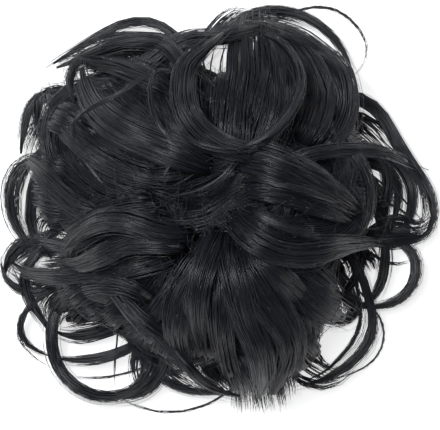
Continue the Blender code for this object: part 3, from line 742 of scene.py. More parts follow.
def streak_group():
    """Node group: the shades of set synthetic fibre, streaked along the lock. Both hair finishes use it."""
    group = bpy.data.node_groups.new("fibre_streaks", "ShaderNodeTree")
    for name, kind, way in (("Dark", "Color", "INPUT"), ("Light", "Color", "INPUT"),
                            ("Streaks per mm", "Float", "INPUT"), ("Colour", "Color", "OUTPUT"),
                            ("Roughness", "Float", "OUTPUT"), ("Streak", "Float", "OUTPUT")):
        group.interface.new_socket(name=name, socket_type="NodeSocket" + kind, in_out=way)
    nodes, links = group.nodes, group.links
    given = nodes.new("NodeGroupInput")
    result = nodes.new("NodeGroupOutput")
    read = {}
    for name in LAYERS:
        attribute = nodes.new("ShaderNodeAttribute")
        attribute.attribute_name = name
        read[name] = attribute.outputs["Fac"]
    place = nodes.new("ShaderNodeCombineXYZ")
    fine = worked_out(group, "MULTIPLY", read["across"], given.outputs["Streaks per mm"])
    links.new(fine, place.inputs["X"])
    links.new(worked_out(group, "MULTIPLY", read["along"], 0.06), place.inputs["Y"])
    links.new(worked_out(group, "MULTIPLY", read["tone"], 40.0), place.inputs["Z"])
    streaks = nodes.new("ShaderNodeTexNoise")
    for socket, value in (("Scale", 1.0), ("Detail", 3.0), ("Roughness", 0.6)):
        streaks.inputs[socket].default_value = value
    links.new(place.outputs["Vector"], streaks.inputs["Vector"])
    half = worked_out(group, "MULTIPLY", streaks.outputs["Fac"], 0.45)
    mix = nodes.new("ShaderNodeMix")
    mix.data_type = "RGBA"
    links.new(worked_out(group, "MULTIPLY_ADD", read["tone"], 0.55, half), mix.inputs["Factor"])
    links.new(given.outputs["Dark"], mix.inputs["A"])
    links.new(given.outputs["Light"], mix.inputs["B"])
    links.new(mix.outputs["Result"], result.inputs["Colour"])
    links.new(ranged(group, streaks.outputs["Fac"], 0.32, 0.46, 0.3, 0.7), result.inputs["Roughness"])
    links.new(streaks.outputs["Fac"], result.inputs["Streak"])
    return group


def hair_finish(name, dark, light, streaks_per_mm, relief_depth, gloss):
    """Glossy near-black synthetic hair."""
    material, shader = new_finish(name, {"Specular IOR Level": gloss})
    tree = material.node_tree
    streaks = tree.nodes.new("ShaderNodeGroup")
    streaks.node_tree = fibre_streaks
    streaks.inputs["Dark"].default_value = (*dark, 1.0)
    streaks.inputs["Light"].default_value = (*light, 1.0)
    streaks.inputs["Streaks per mm"].default_value = streaks_per_mm
    tree.links.new(streaks.outputs["Colour"], shader.inputs["Base Color"])
    tree.links.new(streaks.outputs["Roughness"], shader.inputs["Roughness"])
    if relief_depth:
        raised(tree, shader, streaks.outputs["Streak"], 1.0, relief_depth)
    return material


fibre_streaks = streak_group()
# The packed hair is near-black fibre painted darker than the glossy fibres: painted shade where the cores
# show between them.
packed_hair = hair_finish("packed_hair", dark=(0.004, 0.004, 0.005), light=(0.010, 0.010, 0.012),
                          streaks_per_mm=4.0, relief_depth=0.2 * MM, gloss=0.2)
glossy_fibre = hair_finish("glossy_fibre", dark=(0.004, 0.0042, 0.0055), light=(0.015, 0.0163, 0.024),
                           streaks_per_mm=5.0, relief_depth=0.0, gloss=0.45)


def packed_piece(name, node, head, ways, **reach):
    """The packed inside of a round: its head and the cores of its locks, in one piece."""
    whole, _ = layered()
    turned_head(head, whole, **reach)
    for way in ways:
        packed_lock(way, random.uniform(0.0, 0.6), whole)
    place = Matrix.Translation(band_middle) @ Matrix.Scale(MM, 4)
    dressed(shaded(name, whole, packed_hair, place), node)


def table_ways(table, height, head_exit, dive=0.0):
    """The ways of a table's locks."""
    return [Way(*lock_line(lock, height, head_exit, dive), lock.wide, lock.deep, lock.tip) for lock in table]


def curl_ways(curls):
    """The ways of the side curls, without those that would close a gap."""
    ways = []
    for index in range(curls.count):
        line, shares, azimuth = side_curl_line(curls, index)
        side = (-math.sin(azimuth), math.cos(azimuth), 0.0)
        if clear_of_gaps(line, ROLL_CLEAR * curls.wide):
            ways.append(Way(line, shares, side, curls.wide, curls.deep, CURL_TIP))
    return ways


# White gaps of the photo that stay open all the way down: no filling lock may cross them
Clearing = namedtuple("Clearing", "name x y radius")
CLEARINGS = [Clearing(*row) for row in (
    # name               x      y  radius
    ("top_hole",        0.5,  52.0,  5.5),
    ("left_gap",      -56.0,  -9.5,  2.5),
    ("tuft_gap",      -64.0, -17.0,  2.0),
    ("ring_upper",    -48.0, -40.5,  3.0),
    ("ring_middle",   -45.0, -47.0,  5.0),
    ("ring_lower",    -42.0, -57.0,  6.0),
    ("upper_slit",    -27.0,  57.5,  2.0),
    ("top_right_gap",  33.0,  63.0,  3.5),
    ("right_high",     53.0,  26.0,  3.0),
    ("right_middle",   53.0,  12.0,  4.0),
    ("right_low",      55.0,  -7.0,  1.5),
    ("bar_gap_inner",  45.5, -21.0,  3.0),
    ("bar_gap_outer",  51.5, -23.0,  2.5),
)]


def clear_of_gaps(line, half_wide):
    """Whether a lock along this line leaves all the clearings open."""
    return all(np.hypot(line[:, 0] - c.x, line[:, 1] - c.y).min() > c.radius + half_wide for c in CLEARINGS)


def fill_ways(count, first_azimuth, from_r, height, sink, radius, to_angle):
    """Broad plain locks all round, which close the mass between the named ones and roll over its edge."""
    ways = []
    for index in range(count):
        azimuth = math.radians(first_azimuth + 360.0 * index / count + random.uniform(-4.0, 4.0))
        wide = random.uniform(*ROLL_WIDE)
        low = sink + random.uniform(0.0, FILL_SINK)
        root_r = from_r * random.uniform(0.8, 1.2)
        roll = radius * random.uniform(0.85, 1.2)
        twist = random.uniform(-0.7, 0.7)
        line, shares, side = rolled_line(azimuth, root_r, lambda r: height(r) - low, roll, twist, to_angle)
        if clear_of_gaps(line, ROLL_CLEAR * wide):
            ways.append(Way(line, shares, side, wide, random.uniform(*FILL_DEEP), ROLL_TIP))
    return ways


def hooked_ways(count, first_azimuth, from_r, height, sink, beyond, drop):
    """Locks all round that swing along the edge of the mass, some one way and some the other."""
    ways = []
    for index in range(count):
        azimuth = math.radians(first_azimuth + 360.0 * index / count + random.uniform(-5.0, 5.0))
        wide = random.uniform(*HOOK_WIDE)
        low = sink + random.uniform(0.0, FILL_SINK)
        swing = random.choice([-1.0, 1.0]) * random.uniform(0.45, 1.0)
        root_r = from_r * random.uniform(0.8, 1.2)
        past = beyond - 0.5 * wide - random.uniform(0.0, 3.0)
        fall = drop * random.uniform(0.6, 1.2)
        line, shares, side = hooked_line(azimuth, root_r, lambda r: height(r) - low, past, swing, fall)
        if clear_of_gaps(line, HOOK_CLEAR * wide):
            ways.append(Way(line, shares, side, wide, random.uniform(*FILL_DEEP), HOOK_TIP))
    return ways


def fill_fibres(ways):
    """The fibres of plain filling locks, most of them on top."""
    return [lock_fibres(way, FILL_PER_MM, 0.05, 0.9) for way in ways]


def curl_fibres(ways):
    """The fibres of side curls, most of them on top."""
    return [lock_fibres(way, CURL_PER_MM, 0.06, 0.9) for way in ways]


BED_INNER_R = 21.0
BED_FLAT_R = 29.0
BED_R = 45.0
BED_BOTTOM = 7.3
BED_TOP = 13.2
BED_FLARE = 3.4
bed = [(BED_INNER_R, BED_BOTTOM), (BED_FLAT_R, BED_BOTTOM), (BED_R - 2.0, BED_BOTTOM + BED_FLARE),
       (BED_R, BED_TOP), (BED_R - 3.0, BED_TOP + BED_FLARE), (BED_FLAT_R + 2.0, BED_TOP),
       (BED_INNER_R, BED_TOP)]
bed_fall = [(BED_FLAT_R, BED_BOTTOM + 0.5), (BED_R - 2.0, BED_BOTTOM + BED_FLARE - 0.5),
            (BED_R + 1.0, BED_TOP)]
bed_reach = dict(inner_r=BED_INNER_R, full_r=BED_R, cover=rim_height)
rim_ways = table_ways(RIM_LOCKS, rim_height, RIM_EXIT)
rim_curls = curl_ways(RIM_CURLS)
rim_fill = fill_ways(20, first_azimuth=5.0, from_r=34.0, height=rim_height, sink=0.0, radius=2.5,
                     to_angle=-60.0)
rim_fill += hooked_ways(36, first_azimuth=0.0, from_r=36.0, height=rim_height, sink=-3.0, beyond=4.0,
                        drop=4.0)
packed_piece("rim_packed_hair", "rim_locks", bed, rim_ways + rim_fill + rim_curls, **bed_reach)
rim_fibres = [lock_fibres(way, FINE_PER_MM) for way in rim_ways] + fill_fibres(rim_fill)
rim_fibres.append(head_fibres(bed_fall, 160, swirl=0.5, lift=1.0, **bed_reach))
fibre_piece("rim_hair", "rim_locks", rim_fibres)
fibre_piece("rim_side_curls", "rim_locks", curl_fibres(rim_curls))

# Middle round: a fuller weft whose packed body is hollow underneath for the wearer's own bun.
# Its long locks show between crown and rim, and its curls roll over round the sides.
MIDDLE_LOCKS = [Lock(*row) for row in (
    # name, points (x, y) from root to tip, wide, deep, tip, arch, lift, drop, up to the last that isn't 0
    ("long_left", ((-16, 11), (-26, 12), (-36, 15.5), (-45, 21), (-52, 28), (-57, 35), (-60, 41)), 9, 6,
        0.8, 2.5),
    ("roll_left", ((-11, 41), (-13, 51), (-20, 58), (-30, 59), (-42, 56), (-50, 53), (-57, 50.5)), 6, 6,
        0.6, 2.5),
    ("cross_left", ((-17, 41), (-25, 45.5), (-33, 49), (-42, 51.5), (-51, 53)), 8, 5, 0.6, 2.5, 0, 1),
    ("edge_curl", ((-49, 53), (-52, 47), (-51.5, 40), (-48, 33)), 5, 4, 0.8, 2.5, 0.5),
    ("upper_valley", ((-10, 19), (-16, 28), (-21, 38), (-26, 48)), 13, 5, 0.8, 2.5, -1, 2),
    ("upper_pocket", ((-17, 25), (-25, 31), (-32, 37), (-39, 45)), 14, 5, 0.8, 2, -2.5, 2),
    ("coil_under", ((1, 20), (-1, 27), (-1, 36), (1, 48)), 11, 5, 1, 2.5, -2),
    ("top_bridge", ((-18, 57), (-10, 59.5), (0, 60.2), (8, 61.8), (19, 67)), 9, 6, 0.8, 2.5),
    ("roll_outer", ((37, 22), (42.5, 30), (44.3, 39.5), (42, 48.5), (35, 55.5), (26, 61), (16, 64.5),
        (8, 66)), 8.5, 6, 1, 2.5),
    ("right_edge", ((42, 24), (48, 18), (51, 11), (52, 4), (51, -3), (47, -9)), 5, 4, 0.6, 2.5, -1, 4),
    ("roll_inner", ((28, 24), (32, 31), (34, 39), (32, 47), (28, 54), (20, 59.5)), 13, 6, 1, 2.5),
    ("right_reach", ((20, 16), (32, 20), (44, 21.5), (55, 21), (65, 17.5)), 5, 5, 0.7, 2.5),
    ("lower_right", ((12, -15), (20, -22), (28, -28), (35, -33), (43, -37)), 14, 6, 0.7, 2.5, 0, 4),
    ("lower_side", ((16, -12), (24, -18), (31, -23), (39, -28)), 13, 6, 0.7, 2.5, 0, 4),
    ("ring_top", ((-22, -31), (-30, -26.5), (-40, -24.5), (-48, -26), (-55, -30.5), (-58.8, -38)), 7.5, 4,
        0.6, 2.5, 1.5, 20),
    ("diagonal", ((-35, -29), (-29, -36), (-19, -44), (-13, -51), (-7, -58), (0, -62), (7, -64)), 6, 6, 0.7,
        2.5),
    ("lower_left", ((-12, -13), (-22, -16.5), (-32, -18.5), (-42, -22), (-54, -26)), 10, 5, 0.6, 2.5, 0, 4),
    ("low_valley", ((-8, -19), (-14, -28), (-20, -36), (-25, -45)), 12, 5, 1, 2.5, -1),
    ("left_streak", ((-20, -14), (-32, -18.5), (-45, -21), (-57, -22), (-66, -21.5), (-72.5, -18)), 7, 5,
        0.6, 2.5, 0, 8),
    ("left_reach", ((-21, 1), (-31, -0.5), (-40, -3), (-48, -7), (-54, -10)), 12, 5, 0.7, 2.5, 0, 3),
    ("left_lock", ((-40, -1), (-48, 1.5), (-55, 6.5), (-61, 12.5), (-67, 17.5)), 9, 5, 0.5, 2.5, 0, 2),
    ("left_edge", ((-44, 44), (-53, 41), (-59, 34), (-60.5, 26), (-58.5, 18), (-53, 12)), 7, 4, 0.6, 2.5,
        -1, 3),
    ("left_under", ((-38, 38), (-48, 35), (-54, 28), (-54, 20), (-48, 13)), 9, 4, 0.6, 2.5, -2.5, 2),
)]
BODY_CURLS = SideCurls(count=20, first_azimuth=3.0, centre_r=-4.0, centre_z=24.0, radius=7.5,
                       from_angle=110.0, to_angle=-140.0, wide=12.0, deep=3.6)
BODY_EXIT = (41.0, 32.5)
BODY_BOTTOM = 13.5
BODY_WAIST_R = 30.0
BODY_R = 45.0
BODY_BELLY_Z = 26.0
BODY_SHOULDER_Z = 35.0
BODY_CROWN_R = 36.0
HOLLOW_R = 23.0
HOLLOW_TOP = 38.0
HOLLOW_ROUND = 7.0
SINK = 1.6

# The dome that the upper locks lie on, and the crater in its middle
DOME_FOOT = 14.0
DOME_RISE = 46.0
DOME_LEAST = 0.02
DOME_POWER = 0.75
CRATER_DEPTH = 9.0
CRATER_R = 16.0
MIDDLE_LOWER = 9.0


def crown_height(radius):
    """Height of the crown locks' middle line at a distance from the axis: a dome, sunk in the middle."""
    left = np.maximum(1.0 - (radius / REACH) ** 2, DOME_LEAST)
    return DOME_FOOT + DOME_RISE * left ** DOME_POWER - CRATER_DEPTH * np.exp(-(radius / CRATER_R) ** 2)


def middle_height(radius):
    """Height of the middle round's locks, a little under the crown locks."""
    return crown_height(radius) - MIDDLE_LOWER + np.minimum(radius / REACH, 1.0)


def under_middle(radius):
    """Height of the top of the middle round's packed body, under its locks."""
    return middle_height(radius) - SINK


body = [(HOLLOW_R, BODY_BOTTOM), (BODY_WAIST_R, BODY_BOTTOM),
        (BODY_R - 5.0, 0.5 * (BODY_BOTTOM + BODY_BELLY_Z)), (BODY_R, BODY_BELLY_Z),
        (BODY_R - 1.0, BODY_SHOULDER_Z), (BODY_CROWN_R, under_middle(BODY_CROWN_R)),
        (HOLLOW_R, under_middle(HOLLOW_R)), (0.0, under_middle(0.0)), (0.0, HOLLOW_TOP),
        (HOLLOW_R - HOLLOW_ROUND, HOLLOW_TOP - 1.0), (HOLLOW_R, HOLLOW_TOP - HOLLOW_ROUND)]
body_fall = body[7:0:-1]
body_reach = dict(inner_r=HOLLOW_R, full_r=BODY_R, cover=under_middle)
middle_ways = table_ways(MIDDLE_LOCKS, middle_height, BODY_EXIT)
body_curls = curl_ways(BODY_CURLS)
middle_fill = fill_ways(20, first_azimuth=12.0, from_r=20.0, height=middle_height, sink=4.0, radius=6.5,
                        to_angle=-120.0)
middle_fill += hooked_ways(34, first_azimuth=2.0, from_r=20.0, height=middle_height, sink=1.5, beyond=1.0,
                           drop=9.0)
middle_fill += hooked_ways(36, first_azimuth=7.0, from_r=34.0, height=middle_height, sink=7.0, beyond=4.5,
                           drop=7.0)
packed_piece("middle_packed_hair", "middle_locks", body, middle_ways + middle_fill + body_curls, **body_reach)
fibre_piece("middle_hair", "middle_locks", [lock_fibres(way) for way in middle_ways])
body_fibres = fill_fibres(middle_fill)
body_fibres.append(head_fibres(body_fall, 400, swirl=1.2, lift=0.8, reach=(0.05, 1.0), **body_reach))
fibre_piece("body_fill_hair", "middle_locks", body_fibres)
fibre_piece("body_side_curls", "middle_locks", curl_fibres(body_curls))

# Crown round: the last weft, coiled into a cap that closes the top. Its broad locks sweep out
# from the middle over the others, and one of them is rolled into the large open curl.
CROWN_LOCKS = [Lock(*row) for row in (
    # name, points (x, y) from root to tip, wide, deep, tip, arch, lift, drop, up to the last that isn't 0
    ("coil_left", ((8, 20.5), (1, 22.5), (-6, 26.5), (-11, 33), (-12.5, 41), (-11.2, 49), (-4.8, 56),
        (1, 61.5)), 9, 7, 0.7, 3, 2),
    ("coil_right", ((7, 20), (14, 23.5), (20, 28.5), (25, 35), (27.5, 43), (26, 51), (22, 57), (15, 61)),
        3.5, 6, 0.7, 3, 2),
    ("coil_floor", ((4, 15), (5, 27), (6, 38), (7.4, 48), (7.4, 57), (9, 66)), 12, 5, 0.8, 0.5, -7.5, 0.5),
    ("coil_floor_mid", ((8, 15), (11, 26), (14, 37), (16, 47), (16, 57), (15, 66)), 11, 5, 0.8, 0.5, -9,
        0.5),
    ("coil_floor_right", ((12, 17), (18, 26), (21, 36), (21, 47), (19, 57), (16, 64)), 9, 5, 0.8, 1, -7,
        0.5),
    ("right_wave", ((6, 19), (14, 18), (24, 14), (33, 9.5), (41, 5), (47, 1)), 12, 6, 0.4, 4.5, 0, 10),
    ("right_valley", ((5, 8), (15, 8), (26, 5.5), (36, 1.5), (45, -3)), 9, 5, 0.4, 3.5, -2.5, 9),
    ("right_sweep", ((3, 1), (7, -5), (13, -10), (21, -13.5), (30, -14), (41, -12), (52, -11)), 10, 6, 0.35,
        4.5, 1, 13),
    ("fan_left", ((1, -5), (-3, -12), (-6, -20), (-8, -29), (-8, -39), (-6, -49)), 9, 5, 0.4, 5, 0, 8),
    ("fan_centre", ((2, -6), (3.5, -16), (6, -26), (9, -36), (13, -45), (15, -55), (15, -63)), 10, 6, 0.8,
        5, 0, 5),
    ("fan_right", ((4, -7), (9, -18), (15, -28), (21, -37), (24, -46), (22, -55), (18, -63)), 12, 6, 0.9,
        3.5, -2.5, 1),
    ("fan_mid", ((1, -8), (0.5, -20), (0, -32), (1, -44), (4, -57)), 9, 5, 0.7, 4, -3, 5),
    ("fan_shade", ((-2, -12), (-9, -21), (-14, -31), (-15, -42), (-12, -52)), 10, 5, 0.6, 4, -3.5, 5),
    ("fan_side", ((8, -12), (17, -19), (25, -26), (32, -32)), 9, 5, 0.5, 4, -4, 6),
    ("upper_left", ((-6, 17), (-15, 20.5), (-24, 24), (-33, 28), (-41, 34), (-46, 42), (-48, 50)), 11, 6,
        0.6, 4.5, 0, 8),
    ("left_wave", ((-9, -8), (-20, -7), (-30, -3.5), (-39, -3), (-47, -6.5), (-53, -12)), 8, 6, 0.6, 4.5, 0,
        8),
    ("left_low", ((-12, -12), (-23, -10.5), (-32, -11), (-40, -14.5), (-48, -18), (-56, -18)), 8, 5, 0.6,
        4.5, -2, 8),
    ("middle_high", ((22, 17), (12, 14), (5, 9), (-3, 5), (-11, 4), (-23, 7)), 9, 5, 0.6, 0, -4, 4),
    ("middle_low", ((19, 6), (10, 6.5), (2, 1.5), (-5, -3), (-13, -4), (-24, -1)), 9, 5, 0.6, 0, -3.5, 5),
    ("middle_back", ((10, 21), (0, 18), (-8, 14.5), (-17, 12), (-26, 12)), 10, 5, 0.6, 0, -4.5, 2),
    ("sweep_fill", ((8, -1), (14, -4.5), (22, -6), (32, -6)), 9, 5, 0.7, 4, -2.5, 2),
)]
CAP_EXIT = (15.0, 46.0)
CAP_BOTTOM = 44.0
CAP_TOP = 47.0
CAP_R = 19.0
FUNNEL_BOTTOM = 42.0
NECK_R = 9.0
ROOT_DIVE = 5.0
neck_bottom = under_middle(0.0) + 0.3
cap = [(0.0, neck_bottom), (NECK_R, neck_bottom), (NECK_R, CAP_BOTTOM), (CAP_R - 4.0, CAP_BOTTOM),
       (CAP_R, CAP_BOTTOM + 2.0), (CAP_R - 3.0, CAP_TOP + 1.0), (CAP_R - 7.0, CAP_TOP), (0.0, FUNNEL_BOTTOM)]
cap_fall = cap[6:2:-1]
crown_ways = table_ways(CROWN_LOCKS, crown_height, CAP_EXIT, ROOT_DIVE)
packed_piece("crown_packed_hair", "crown_locks", cap, crown_ways)
crown_fibres = [lock_fibres(way, FINE_PER_MM) for way in crown_ways]
crown_fibres.append(head_fibres(cap_fall, 120, swirl=2.0, lift=0.4, reach=(0.0, 0.8)))
fibre_piece("crown_hair", "crown_locks", crown_fibres)

# Loose hairs: thin strands and single hairs that have sprung out of the locks, across the sunken
# middle, round the coil and beyond the rim.
CROWN_STRANDS = [Lock(*row) for row in (
    # name, points (x, y) from root to tip, wide, deep, tip, arch, lift, drop, up to the last that isn't 0
    ("c_wisp", ((-23, 47), (-24, 41), (-23, 34.5), (-20, 28), (-15, 23.5), (-8, 20.5), (1, 22)), 1.6, 1.2,
        0.8, 3, 3.5),
    ("crossing", ((-49, 33), (-42, 37), (-34, 41), (-27, 46), (-21, 51)), 1.6, 1.2, 0.6, 3, 3.5),
    ("long_arc", ((5, 18), (1, 12.5), (-5, 8.5), (-12, 6), (-19, 5.5)), 1, 1, 0.7, 3, 3),
    ("inner_arc", ((6, 17), (1, 11), (-6, 6.5), (-14, 4.5)), 0.8, 1, 0.7, 3, 3),
    ("small_loop", ((-12, 19), (-17, 16), (-19, 11), (-17, 7), (-12, 9)), 0.6, 0.6, 0.7, 3, 2.5),
    ("coil_bright", ((9, 22.5), (16, 25.5), (22, 31), (26.5, 38), (28.5, 45), (27, 52), (22, 58.5)), 1.4,
        1.5, 0.8, 3, 5.5),
    ("coil_low", ((-12, 26), (-5, 22.5), (4, 21), (13, 22.5), (20, 26.5)), 1.6, 1.5, 0.8, 3, 5),
    ("coil_outer", ((-15.5, 50), (-16.5, 42), (-15, 34), (-11, 27.5), (-4, 23.5)), 1.4, 1.5, 0.8, 3, 4),
    ("fan_tips", ((6, -50), (9, -56), (11, -61), (12, -66)), 12, 2, 1.2, 3, -12, 6),
    ("wave_low", ((10, 12), (20, 9.5), (30, 7), (40, 3.5)), 2.4, 1.5, 0.8, 3, 3, 2),
    ("sweep_high", ((10, 1), (17, -3.5), (25, -6.5), (34, -8)), 3, 1.5, 0.8, 3, 3, 1),
    ("fan_bright", ((3, -10), (5, -22), (11, -32), (18, -40), (22, -50)), 3, 1.5, 0.8, 3, 3.5, 1),
)]
RIM_STRANDS = [Lock(*row) for row in (
    # name, points (x, y) from root to tip, wide, deep, tip, arch, lift, drop, up to the last that isn't 0
    ("shelf_right_high", ((44, 33), (50, 30.5), (55.5, 26), (59.5, 21)), 8, 3, 0.8),
    ("shelf_right", ((44, 13), (50, 11), (55, 7), (57, 0)), 7.5, 3, 0.8),
    ("knot_right", ((57, -4), (63, -2.5), (69, -4.5), (74, -1)), 4, 3, 0.8),
    ("knot_right_low", ((56, -7), (63, -6), (69, -7.5), (74, -5)), 4, 3, 0.8),
    ("bar_top", ((48, -12), (52, -15.5), (54, -20)), 7, 3, 0.7),
    ("shelf_low_right", ((35, -19), (41, -24), (44, -30), (44, -36)), 8, 3, 0.8),
    ("shelf_bottom", ((-20, -50), (-15, -55.5), (-9, -59), (-2, -62)), 7, 3, 0.8),
    ("gap_fill", ((-5, -50), (-2, -55), (2, -59), (6, -63)), 8, 3, 0.9),
    ("tips_left", ((5, -48), (7, -56), (9, -63), (9.5, -69)), 10, 4, 1.1, 0, 2, 2),
    ("tips_right", ((13, -50), (16, -59), (18, -68)), 11, 4, 1.1, 0, 2, 2),
    ("tips_edge", ((19, -50), (22.5, -57), (24, -64)), 7, 3, 1, 0, 1, 1),
    ("bar_shelf", ((37, -14), (42.5, -17), (45, -22)), 6, 3, 0.8),
    ("shelf_left", ((-48, -15), (-55, -17.5), (-62, -18)), 8, 3, 0.8),
    ("shelf_left_low", ((-52, -28), (-58, -30.5), (-60.5, -35), (-59.5, -40)), 6.5, 3, 0.8),
    ("knot_left", ((-56, -3), (-61, -2.5), (-63, -9)), 6, 3, 0.7),
    ("pocket", ((-38, 46), (-45, 48.5), (-51.5, 47)), 9, 3, 0.8),
    ("slit_low", ((-18, 52), (-28, 54.3), (-37, 54), (-45, 51.5)), 5, 3, 0.8),
    ("slit_high", ((-14, 42), (-12.5, 51), (-15, 57.5), (-21, 60), (-30, 60.5), (-38, 59)), 2.4, 3, 0.7),
    ("tuft_low", ((-58, 31), (-63, 30), (-66, 25), (-67.5, 19.5)), 7, 3, 0.9),
    ("top_band", ((5, 65), (14, 67.3), (22, 67.2), (30, 64.5)), 4, 3, 0.7),
    ("ring_tangle", ((-28, -46), (-30, -51), (-30, -57), (-28, -62)), 3, 2, 0.8),
    ("knot_left_low", ((-58, -12.5), (-64, -13.5), (-69, -16), (-73.5, -20.5)), 4.5, 3, 0.7),
    ("low_corner", ((24, -47), (29, -51.5), (34, -55), (40, -57.5)), 6, 3, 0.7),
    ("ring_foot_left", ((-50, -34), (-55, -36), (-57.5, -40)), 3.5, 3, 0.8),
    ("ring_line", ((-33, -56.5), (-40, -58), (-47, -58.2), (-54, -57.6)), 0.9, 1, 0.8),
    ("ring_fork", ((-30, -48), (-37, -51.5), (-45, -53.6), (-55, -53.2)), 1, 1, 0.8),
    ("ring_down", ((-36.2, -47), (-36.8, -53), (-36.8, -61)), 0.8, 0.8, 0.8, 0, 1),
    ("far_left_hair", ((-67, -33), (-71, -38.5), (-70.6, -45), (-66, -50.5), (-58.5, -55.3)), 0.9, 0.8,
        0.8),
    ("bottom_hair", ((1, -64.5), (-7, -68.6), (-16, -70.3), (-24, -69.8), (-31, -67.5), (-37, -64.5)), 0.9,
        0.8, 0.8, 0, -2),
    ("gap_tangle", ((-10, -46), (-7, -52), (-2, -57), (3, -60)), 1.4, 2, 0.8, 0, 2),
    ("gap_cross", ((-11, -55), (-6, -53), (0, -53.5), (5, -56)), 1.2, 2, 0.8, 0, 2),
    ("single_top", ((27, 70.6), (33, 72), (40.5, 71), (47.5, 65.8), (51.6, 58), (50.4, 52), (46, 47)), 1.1,
        1, 1),
    ("top_arc", ((-4.5, 62), (-0.5, 66.5), (4, 70.2), (10, 71.6)), 3.6, 1.5, 0.6, 0, 2),
    ("right_band", ((44, 39), (51, 37), (56.5, 32), (60, 25), (64.5, 18.5), (69, 11.5), (71.3, 4),
        (70.5, -4), (65, -9.5)), 2.2, 2, 0.7, 0, 1),
    ("right_cross", ((47, 33), (53, 31), (57, 25), (63, 20), (70, 16), (75, 14)), 0.8, 1, 0.7, 0, 1),
    ("right_weave", ((50, 18), (57, 14), (62, 7), (67, 1), (73, -5)), 1, 1, 0.7, 0, 2),
    ("right_weave_low", ((52, -2), (58, 3), (63, 1), (69, -4), (74, -2)), 1, 1, 0.7, 0, 2),
    ("ring_thin", ((60, -10), (65.5, -12.5), (67, -18), (66.3, -24), (62.5, -29), (56, -31.3)), 0.7, 1,
        0.8),
    ("ring_line_high", ((55, -11.5), (60, -12.6), (65, -12.2)), 1.8, 1.5, 0.7),
    ("ring_line_low", ((56, -16.5), (61, -18.2), (67, -17)), 1.4, 1, 0.7),
    ("outer_hair", ((54, -34), (57, -39), (57.3, -46), (53.5, -52.5), (46.5, -56.5), (37, -59)), 0.9, 0.8,
        0.8, 0, -1),
    ("low_fan", ((26, -57), (32, -60.5), (39, -60.5), (46, -56.5)), 3, 1.5, 0.4),
    ("low_hook", ((33, -44), (34.5, -50), (38, -54), (43, -54.5)), 1.4, 1, 0.6),
    ("left_weave", ((-58, -6), (-65, -9), (-71, -15), (-74, -21)), 1.2, 1.5, 0.6, 0, 1),
    ("left_weave_low", ((-60, -24), (-67, -27), (-72, -22), (-73, -16)), 1, 1, 0.6, 0, 1),
    ("corner_fill", ((-62, -24.5), (-68, -24), (-74, -20.5)), 3.2, 2, 0.8),
    ("left_hair", ((-67.5, 16), (-70.5, 9), (-71, 1), (-69, -7)), 3, 2, 0.8, 0, 1),
    ("upper_tuft", ((-44, 56), (-49, 56), (-54, 54), (-58, 51)), 2.4, 2, 0.8, 0, 2),
    ("upper_band", ((-13, 42), (-12, 52), (-15, 59.5), (-21, 61.5), (-28, 62), (-36, 62), (-44, 60),
        (-52, 56)), 3, 2, 0.6, 0, 1),
    ("hole_hair_left", ((-3, 44), (-3.4, 50), (-1.5, 58)), 0.5, 0.5, 0.8),
    ("hole_hair_right", ((1, 44), (0, 50), (2.5, 59)), 0.5, 0.5, 0.8),
)]
SINGLE_HALF_WIDE = 0.07
SINGLE_BULGE = 0.8
STRAY_BEYOND = 5.0


def stray_lines(count, from_r, to_r, height, lift):
    """Single hairs that lie across the locks in arcs of many sizes."""
    t = np.linspace(-0.5, 0.5, STRAY_STEPS)
    middle = drawn(count, from_r, to_r) * np.exp(1j * drawn(count, 0.0, FULL_TURN))
    curve = drawn(count, -1.0, 1.0) * 1.8
    length = drawn(count, 14.0, 40.0)
    heading = drawn(count, 0.0, FULL_TURN)
    steps = np.exp(1j * (heading + curve * t + 0.15 * np.sin(9.0 * t + heading)))
    plan = np.cumsum(steps, axis=1) / STRAY_STEPS * length
    plan += middle - plan[:, STRAY_STEPS // 2, None]
    outside = abs(plan) - mass_reach(np.angle(plan)) - STRAY_BEYOND
    plan *= 1.0 - np.maximum(outside, 0.0) / np.maximum(abs(plan), 1.0)
    z = height(abs(plan)) + drawn(count, -2.0, lift) + 0.6 * np.sin(7.0 * t + heading)
    lines = np.stack([plan.real, plan.imag, z], -1)
    return lines, upright(lines), random.uniform(0.0, 0.5, count)


strands = [lock_fibres(way, FINE_PER_MM, 0.1) for way in table_ways(CROWN_STRANDS, crown_height, CAP_EXIT)]
single_hairs = [stray_lines(110, 0.0, 18.0, crown_height, lift=1.0),
                stray_lines(170, 12.0, 50.0, crown_height, lift=3.0),
                stray_lines(110, 40.0, 66.0, middle_height, lift=2.5)]
strands += [lock_fibres(way, STRAND_PER_MM, 0.12) for way in table_ways(RIM_STRANDS, rim_height, RIM_EXIT)]
fibre_piece("stray_hairs", "middle_locks", single_hairs, SINGLE_HALF_WIDE, SINGLE_BULGE)
fibre_piece("loose_hairs", "crown_locks", strands)

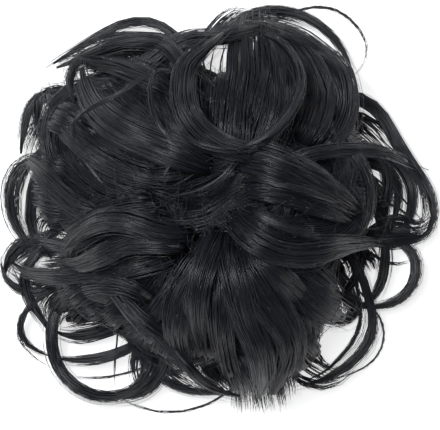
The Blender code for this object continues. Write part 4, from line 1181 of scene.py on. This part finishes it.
# Studio: a plain pale floor, a large soft box high on the left, and an even pale surround.
FLOOR_SIDE = 6.0
WHITE = (1.0, 1.0, 1.0, 1.0)
bpy.ops.mesh.primitive_plane_add(size=FLOOR_SIDE)
floor = bpy.context.object
floor.name = "floor"
floor_finish, _ = new_finish("floor_finish", {"Base Color": (0.92, 0.92, 0.92, 1.0), "Roughness": 0.9,
                                              "Emission Color": WHITE, "Emission Strength": 0.7})
floor.data.materials.append(floor_finish)

surround = bpy.data.worlds.new("surround")
surround.use_nodes = True
sky = surround.node_tree
sky.nodes["Background"].inputs["Color"].default_value = WHITE
seen = sky.nodes.new("ShaderNodeLightPath").outputs["Is Camera Ray"]
sky.links.new(ranged(sky, seen, 0.06, 0.93), sky.nodes["Background"].inputs["Strength"])
bpy.context.scene.world = surround

StudioLight = namedtuple("StudioLight", "name kind x y z size strength")
LIGHT_COLOUR = (0.955, 0.975, 1.0)
for given in (StudioLight("key_light", "AREA", -0.4, 0.35, 1.0, 0.2, 6.0),
              StudioLight("top_light", "SUN", -0.22, 0.16, 1.0, math.radians(28.0), 1.27)):
    lamp = bpy.data.lights.new(given.name, given.kind)
    lamp.energy = given.strength
    lamp.color = LIGHT_COLOUR
    if given.kind == "SUN":
        lamp.angle = given.size
    else:
        lamp.size = given.size
    stand = linked(given.name, lamp)
    stand.location = (given.x, given.y, given.z)
    stand.rotation_mode = "QUATERNION"
    stand.rotation_quaternion = Vector((-given.x, -given.y, -given.z)).to_track_quat("-Z", "Y")
bpy.context.scene.view_settings.view_transform = "Standard"
bpy.context.scene.view_settings.gamma = 1.15

# Camera: straight above, far enough away that the crown isn't drawn larger than the rim.
PHOTO_WIDE = 440
PHOTO_MM_PER_PIXEL = 0.35
CAMERA_HEIGHT = 1.8
SUBJECT_HEIGHT = 0.012
PHOTO_MIDDLE = (0.0, -1.05)
SENSOR_WIDE = 36.0
lens = bpy.data.cameras.new("camera")
lens.sensor_width = SENSOR_WIDE
lens.lens = SENSOR_WIDE * (CAMERA_HEIGHT - SUBJECT_HEIGHT) / (PHOTO_WIDE * PHOTO_MM_PER_PIXEL * MM)
camera = linked("camera", lens)
camera.location = (band_middle.x + PHOTO_MIDDLE[0] * MM, band_middle.y + PHOTO_MIDDLE[1] * MM, CAMERA_HEIGHT)
bpy.context.scene.camera = camera
